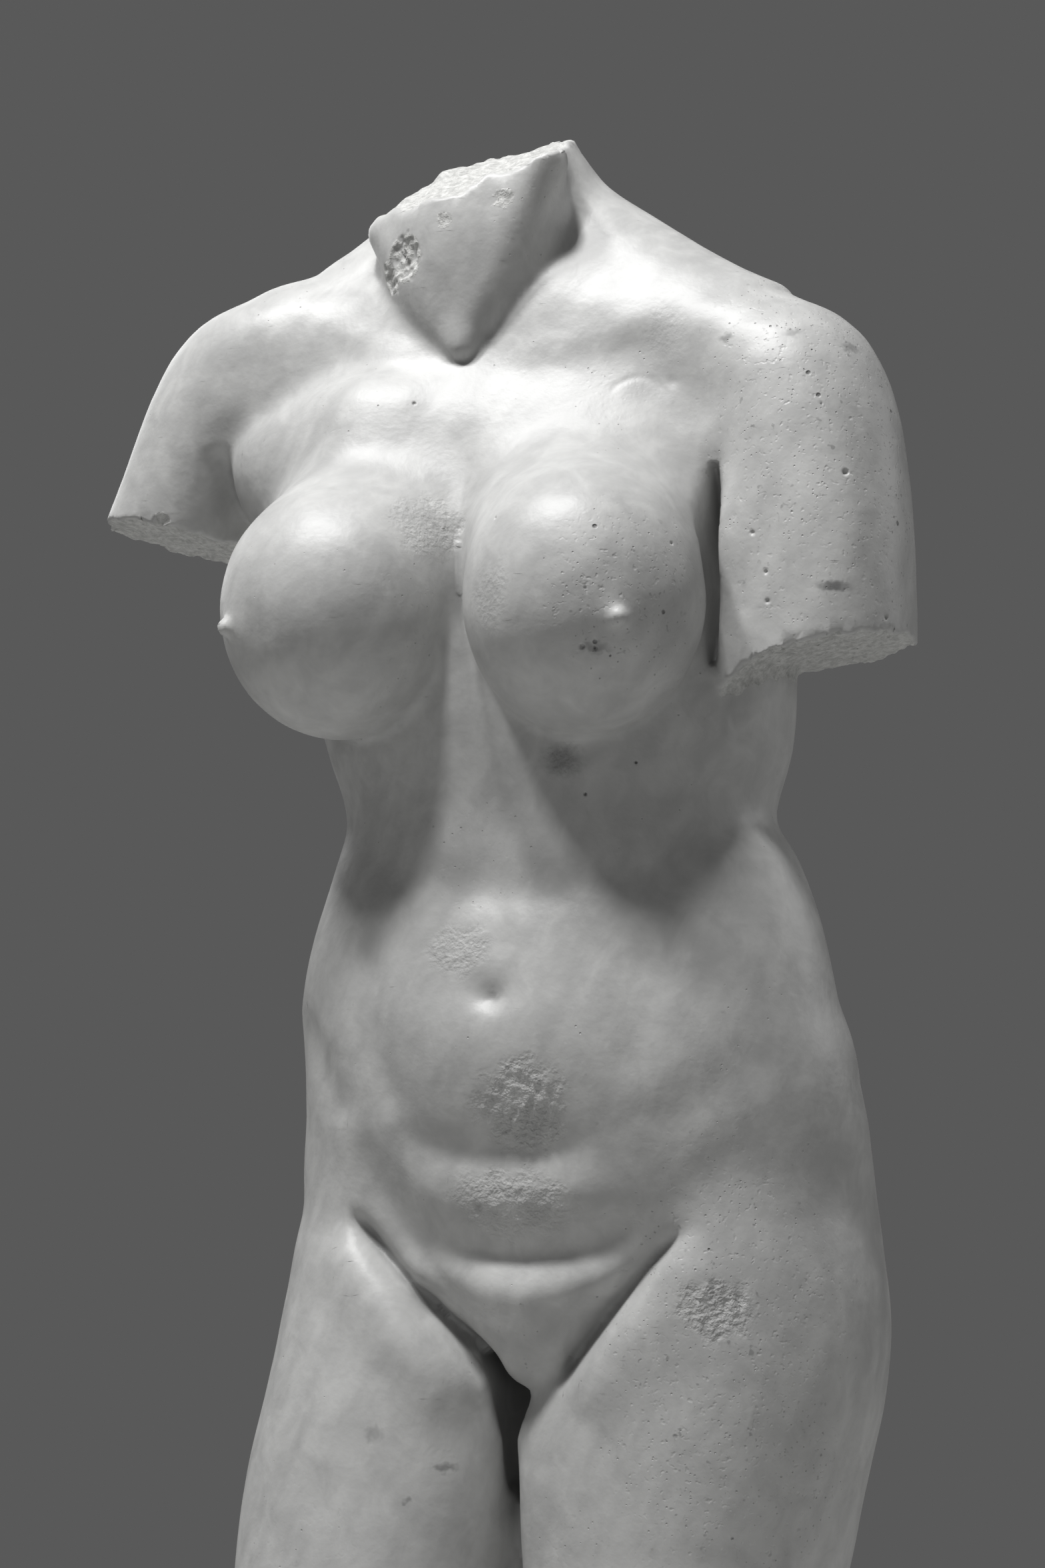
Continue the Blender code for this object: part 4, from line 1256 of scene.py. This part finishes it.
ragged = place + (place.noise(260, 1).other("Color") - (0.5, 0.5, 0.5)) * 0.006
dirt = on_mesh(place, "holed").ramp(0.35, 0.9)
for centre, reach, strength in STAINS:
    dirt = dirt.most(blob(ragged, centre, reach) * strength)
print("stains:", len(STAINS), "nodes so far:", len(marble.node_tree.nodes))

# %% [markdown]
# ## Marble: putting it together
# Colour: clouds, bands and mottle choose between a darker and a lighter grey. Dirt darkens
# pits and stains, and shade is painted darker into the folds. Broken faces show the pale,
# sugary grain of fresh stone. Gloss: the skin keeps a dull polish, and eaten and broken
# places have none. Height: only the finest relief is left to the Bump node, since the mesh
# holds the rest.

# %% Marble shader
SKIN_DARK, SKIN_LIGHT = (0.41, 0.41, 0.405, 1), (0.57, 0.57, 0.56, 1)
FRESH_DARK, FRESH_LIGHT = (0.36, 0.36, 0.35, 1), (0.58, 0.58, 0.565, 1)
# The darkest colour: soot and dirt for specks, holes, stains and pits, and painted shade for the folds.
SOOT_AND_SHADE = (0.06, 0.06, 0.06, 1)

eaten_field = on_mesh(place, "eaten")
sugar = place.noise(240, 3, 0.7)
is_broken = (on_mesh(place, "broken") + (sugar - 0.5) * 2.4).ramp(0.7, 2.2)
# Painted shade: the colour is darkened in folds and creases, where shade falls, by how hollow the skin is.
fold = on_mesh(place, "hollow").ramp(0.45, 1.7) * (1 - is_broken)

tone = clouds * 0.34 + bands * 0.26 + mottle * 0.4
skin_colour = tone.ramp(0.34, 0.68).tint(SKIN_DARK, SKIN_LIGHT)
fresh = sugar.ramp(0.3, 0.7).tint(FRESH_DARK, FRESH_LIGHT)
stone_colour = is_broken.tint(skin_colour, fresh)
# Darkening: specks, dirt, stains and pits are the stone's own, and the fold share is painted shade.
dark = (specks * 0.4).most(dirt * 0.9).most(fold * 0.35).most(large_pits * 0.75).most(small_pits * 0.25)
plug(shader, "Base Color", dark.most(eaten_field * 0.05).tint(stone_colour, SOOT_AND_SHADE))

rough_field = 0.39 + mottle * 0.14 + eaten_field * 0.2 + dirt * 0.2
plug(shader, "Roughness", rough_field.most(is_broken * 0.72))

height = (place.noise(75, 2) - 0.5) * 0.00045 + (grain - 0.5) * 0.00008
height = height - small_pits * 0.0004 - large_pits * 0.0008 - crowd * dimples * 0.0003
height = height + eaten_field * ((place.noise(380, 2) - 0.5) * 0.0022) + is_broken * ((sugar - 0.5) * 0.0011)
plug(shader, "Normal", place.add("Bump", {}, {"Strength": 1.0, "Distance": 1.0, "Height": height}))
figure.data.materials.append(marble)
print("marble:", len(marble.node_tree.nodes), "nodes")

# %% [markdown]
# ## The base's stone
# A duller, evenly grained stone, a little darker than the figure. It is worked with a point
# and a claw chisel, so its sides carry small dents, and it has no polish.

# %% Base shader
BASE_DARK, BASE_LIGHT = (0.36, 0.36, 0.35, 1), (0.48, 0.48, 0.465, 1)
BASE_SPOT = (0.10, 0.10, 0.10, 1)

base_stone, shader, place = start_finish("tooled_stone")
grit = place.noise(520, 3, 0.6)
beds = stretched(place, Vector((1, 0, 0)), 0.4).noise(34, 4, 0.7)
soil = place.noise(6, 4)
dents = place.cells(240)
tone = beds * 0.4 + soil * 0.3 + grit * 0.3
colour = tone.ramp(0.36, 0.66).tint(BASE_DARK, BASE_LIGHT)
spots = place.noise(170, 4, 0.7).ramp(0.64, 0.74)
plug(shader, "Base Color", (spots * 0.45).tint(colour, BASE_SPOT))
plug(shader, "Roughness", 0.62 + soil * 0.2)
height = (grit - 0.5) * 0.00022 + (dents - 0.4) * 0.0007 + (place.noise(70, 3) - 0.5) * 0.0006
plug(shader, "Normal", place.add("Bump", {}, {"Strength": 1.0, "Distance": 1.0, "Height": height}))
base.data.materials.append(base_stone)
print("base stone:", len(base_stone.node_tree.nodes), "nodes")

# %% [markdown]
# ## Floor, light and camera
# The set is plain: a pale floor, two small lights high in front, whose shadows fall steeply
# from the breasts onto the belly, a broad weak one low on the right, and two behind that
# draw the outline. The camera looks slightly up from chest height, turned a little to the
# figure's left.

# %% Floor
FLOOR_RADIUS = 4.0


def paint(name, colour, roughness):
    """A plain material of one colour."""
    material = bpy.data.materials.new(name)
    material.use_nodes = True
    surface = material.node_tree.nodes["Principled BSDF"]
    surface.inputs["Base Color"].default_value = (*colour, 1)
    surface.inputs["Roughness"].default_value = roughness
    return material


bpy.ops.mesh.primitive_circle_add(vertices=96, radius=FLOOR_RADIUS, fill_type="NGON")
floor = bpy.context.object
floor.name = "floor"
floor.data.materials.append(paint("pale_floor", (0.72, 0.72, 0.71), 0.7))
print(f"floor radius: {FLOOR_RADIUS:.0f} m")

# %% Lights
def area_light(name, place, target, size, watts):
    """A square light of the given size in metres, aimed at the target."""
    light = bpy.data.lights.new(name, "AREA")
    light.size, light.energy = size, watts
    lamp = bpy.data.objects.new(name, light)
    lamp.location = place
    lamp.rotation_euler = (Vector(target) - Vector(place)).to_track_quat("-Z", "Y").to_euler()
    bpy.context.scene.collection.objects.link(lamp)


CHEST = (FIGURE_X, 0, 1.2)
area_light("key_right", (-0.05, -0.95, 3.6), CHEST, 0.3, 50)
area_light("key_left", (-0.8, -0.95, 3.55), CHEST, 0.3, 42)
area_light("fill", (1.2, -3.4, 1.5), CHEST, 2.2, 4)
area_light("rim_left", (-2.2, 2.0, 2.4), CHEST, 1.2, 12)
area_light("rim_right", (2.4, 1.8, 2.2), CHEST, 1.2, 12)
world = bpy.data.worlds.new("studio")
world.use_nodes = True
world.node_tree.nodes["Background"].inputs["Color"].default_value = (0.10, 0.10, 0.10, 1)
bpy.context.scene.world = world
bpy.context.scene.view_settings.view_transform = "Standard"

# %% Camera
IMAGE_HEIGHT = 2352
AZIMUTH, ELEVATION, DISTANCE = np.radians(22), np.radians(-4.3), 2.0
METRES_PER_PIXEL = 0.00038
SENSOR = 36.0

aim = Vector((FIGURE_X, 0, SOLE_HEIGHT + 1.10))
flat = DISTANCE * np.cos(ELEVATION)
away = Vector((flat * np.sin(AZIMUTH), -flat * np.cos(AZIMUTH), DISTANCE * np.sin(ELEVATION)))
data = bpy.data.cameras.new("camera")
data.sensor_fit = "VERTICAL"
data.sensor_height = SENSOR
data.lens = SENSOR * DISTANCE / (IMAGE_HEIGHT * METRES_PER_PIXEL)
camera = bpy.data.objects.new("camera", data)
camera.location = aim + away
camera.rotation_euler = (-away).to_track_quat("-Z", "Y").to_euler()
bpy.context.scene.collection.objects.link(camera)
bpy.context.scene.camera = camera
print(f"camera {camera.location.z:.2f} m up, lens {data.lens:.1f} mm")
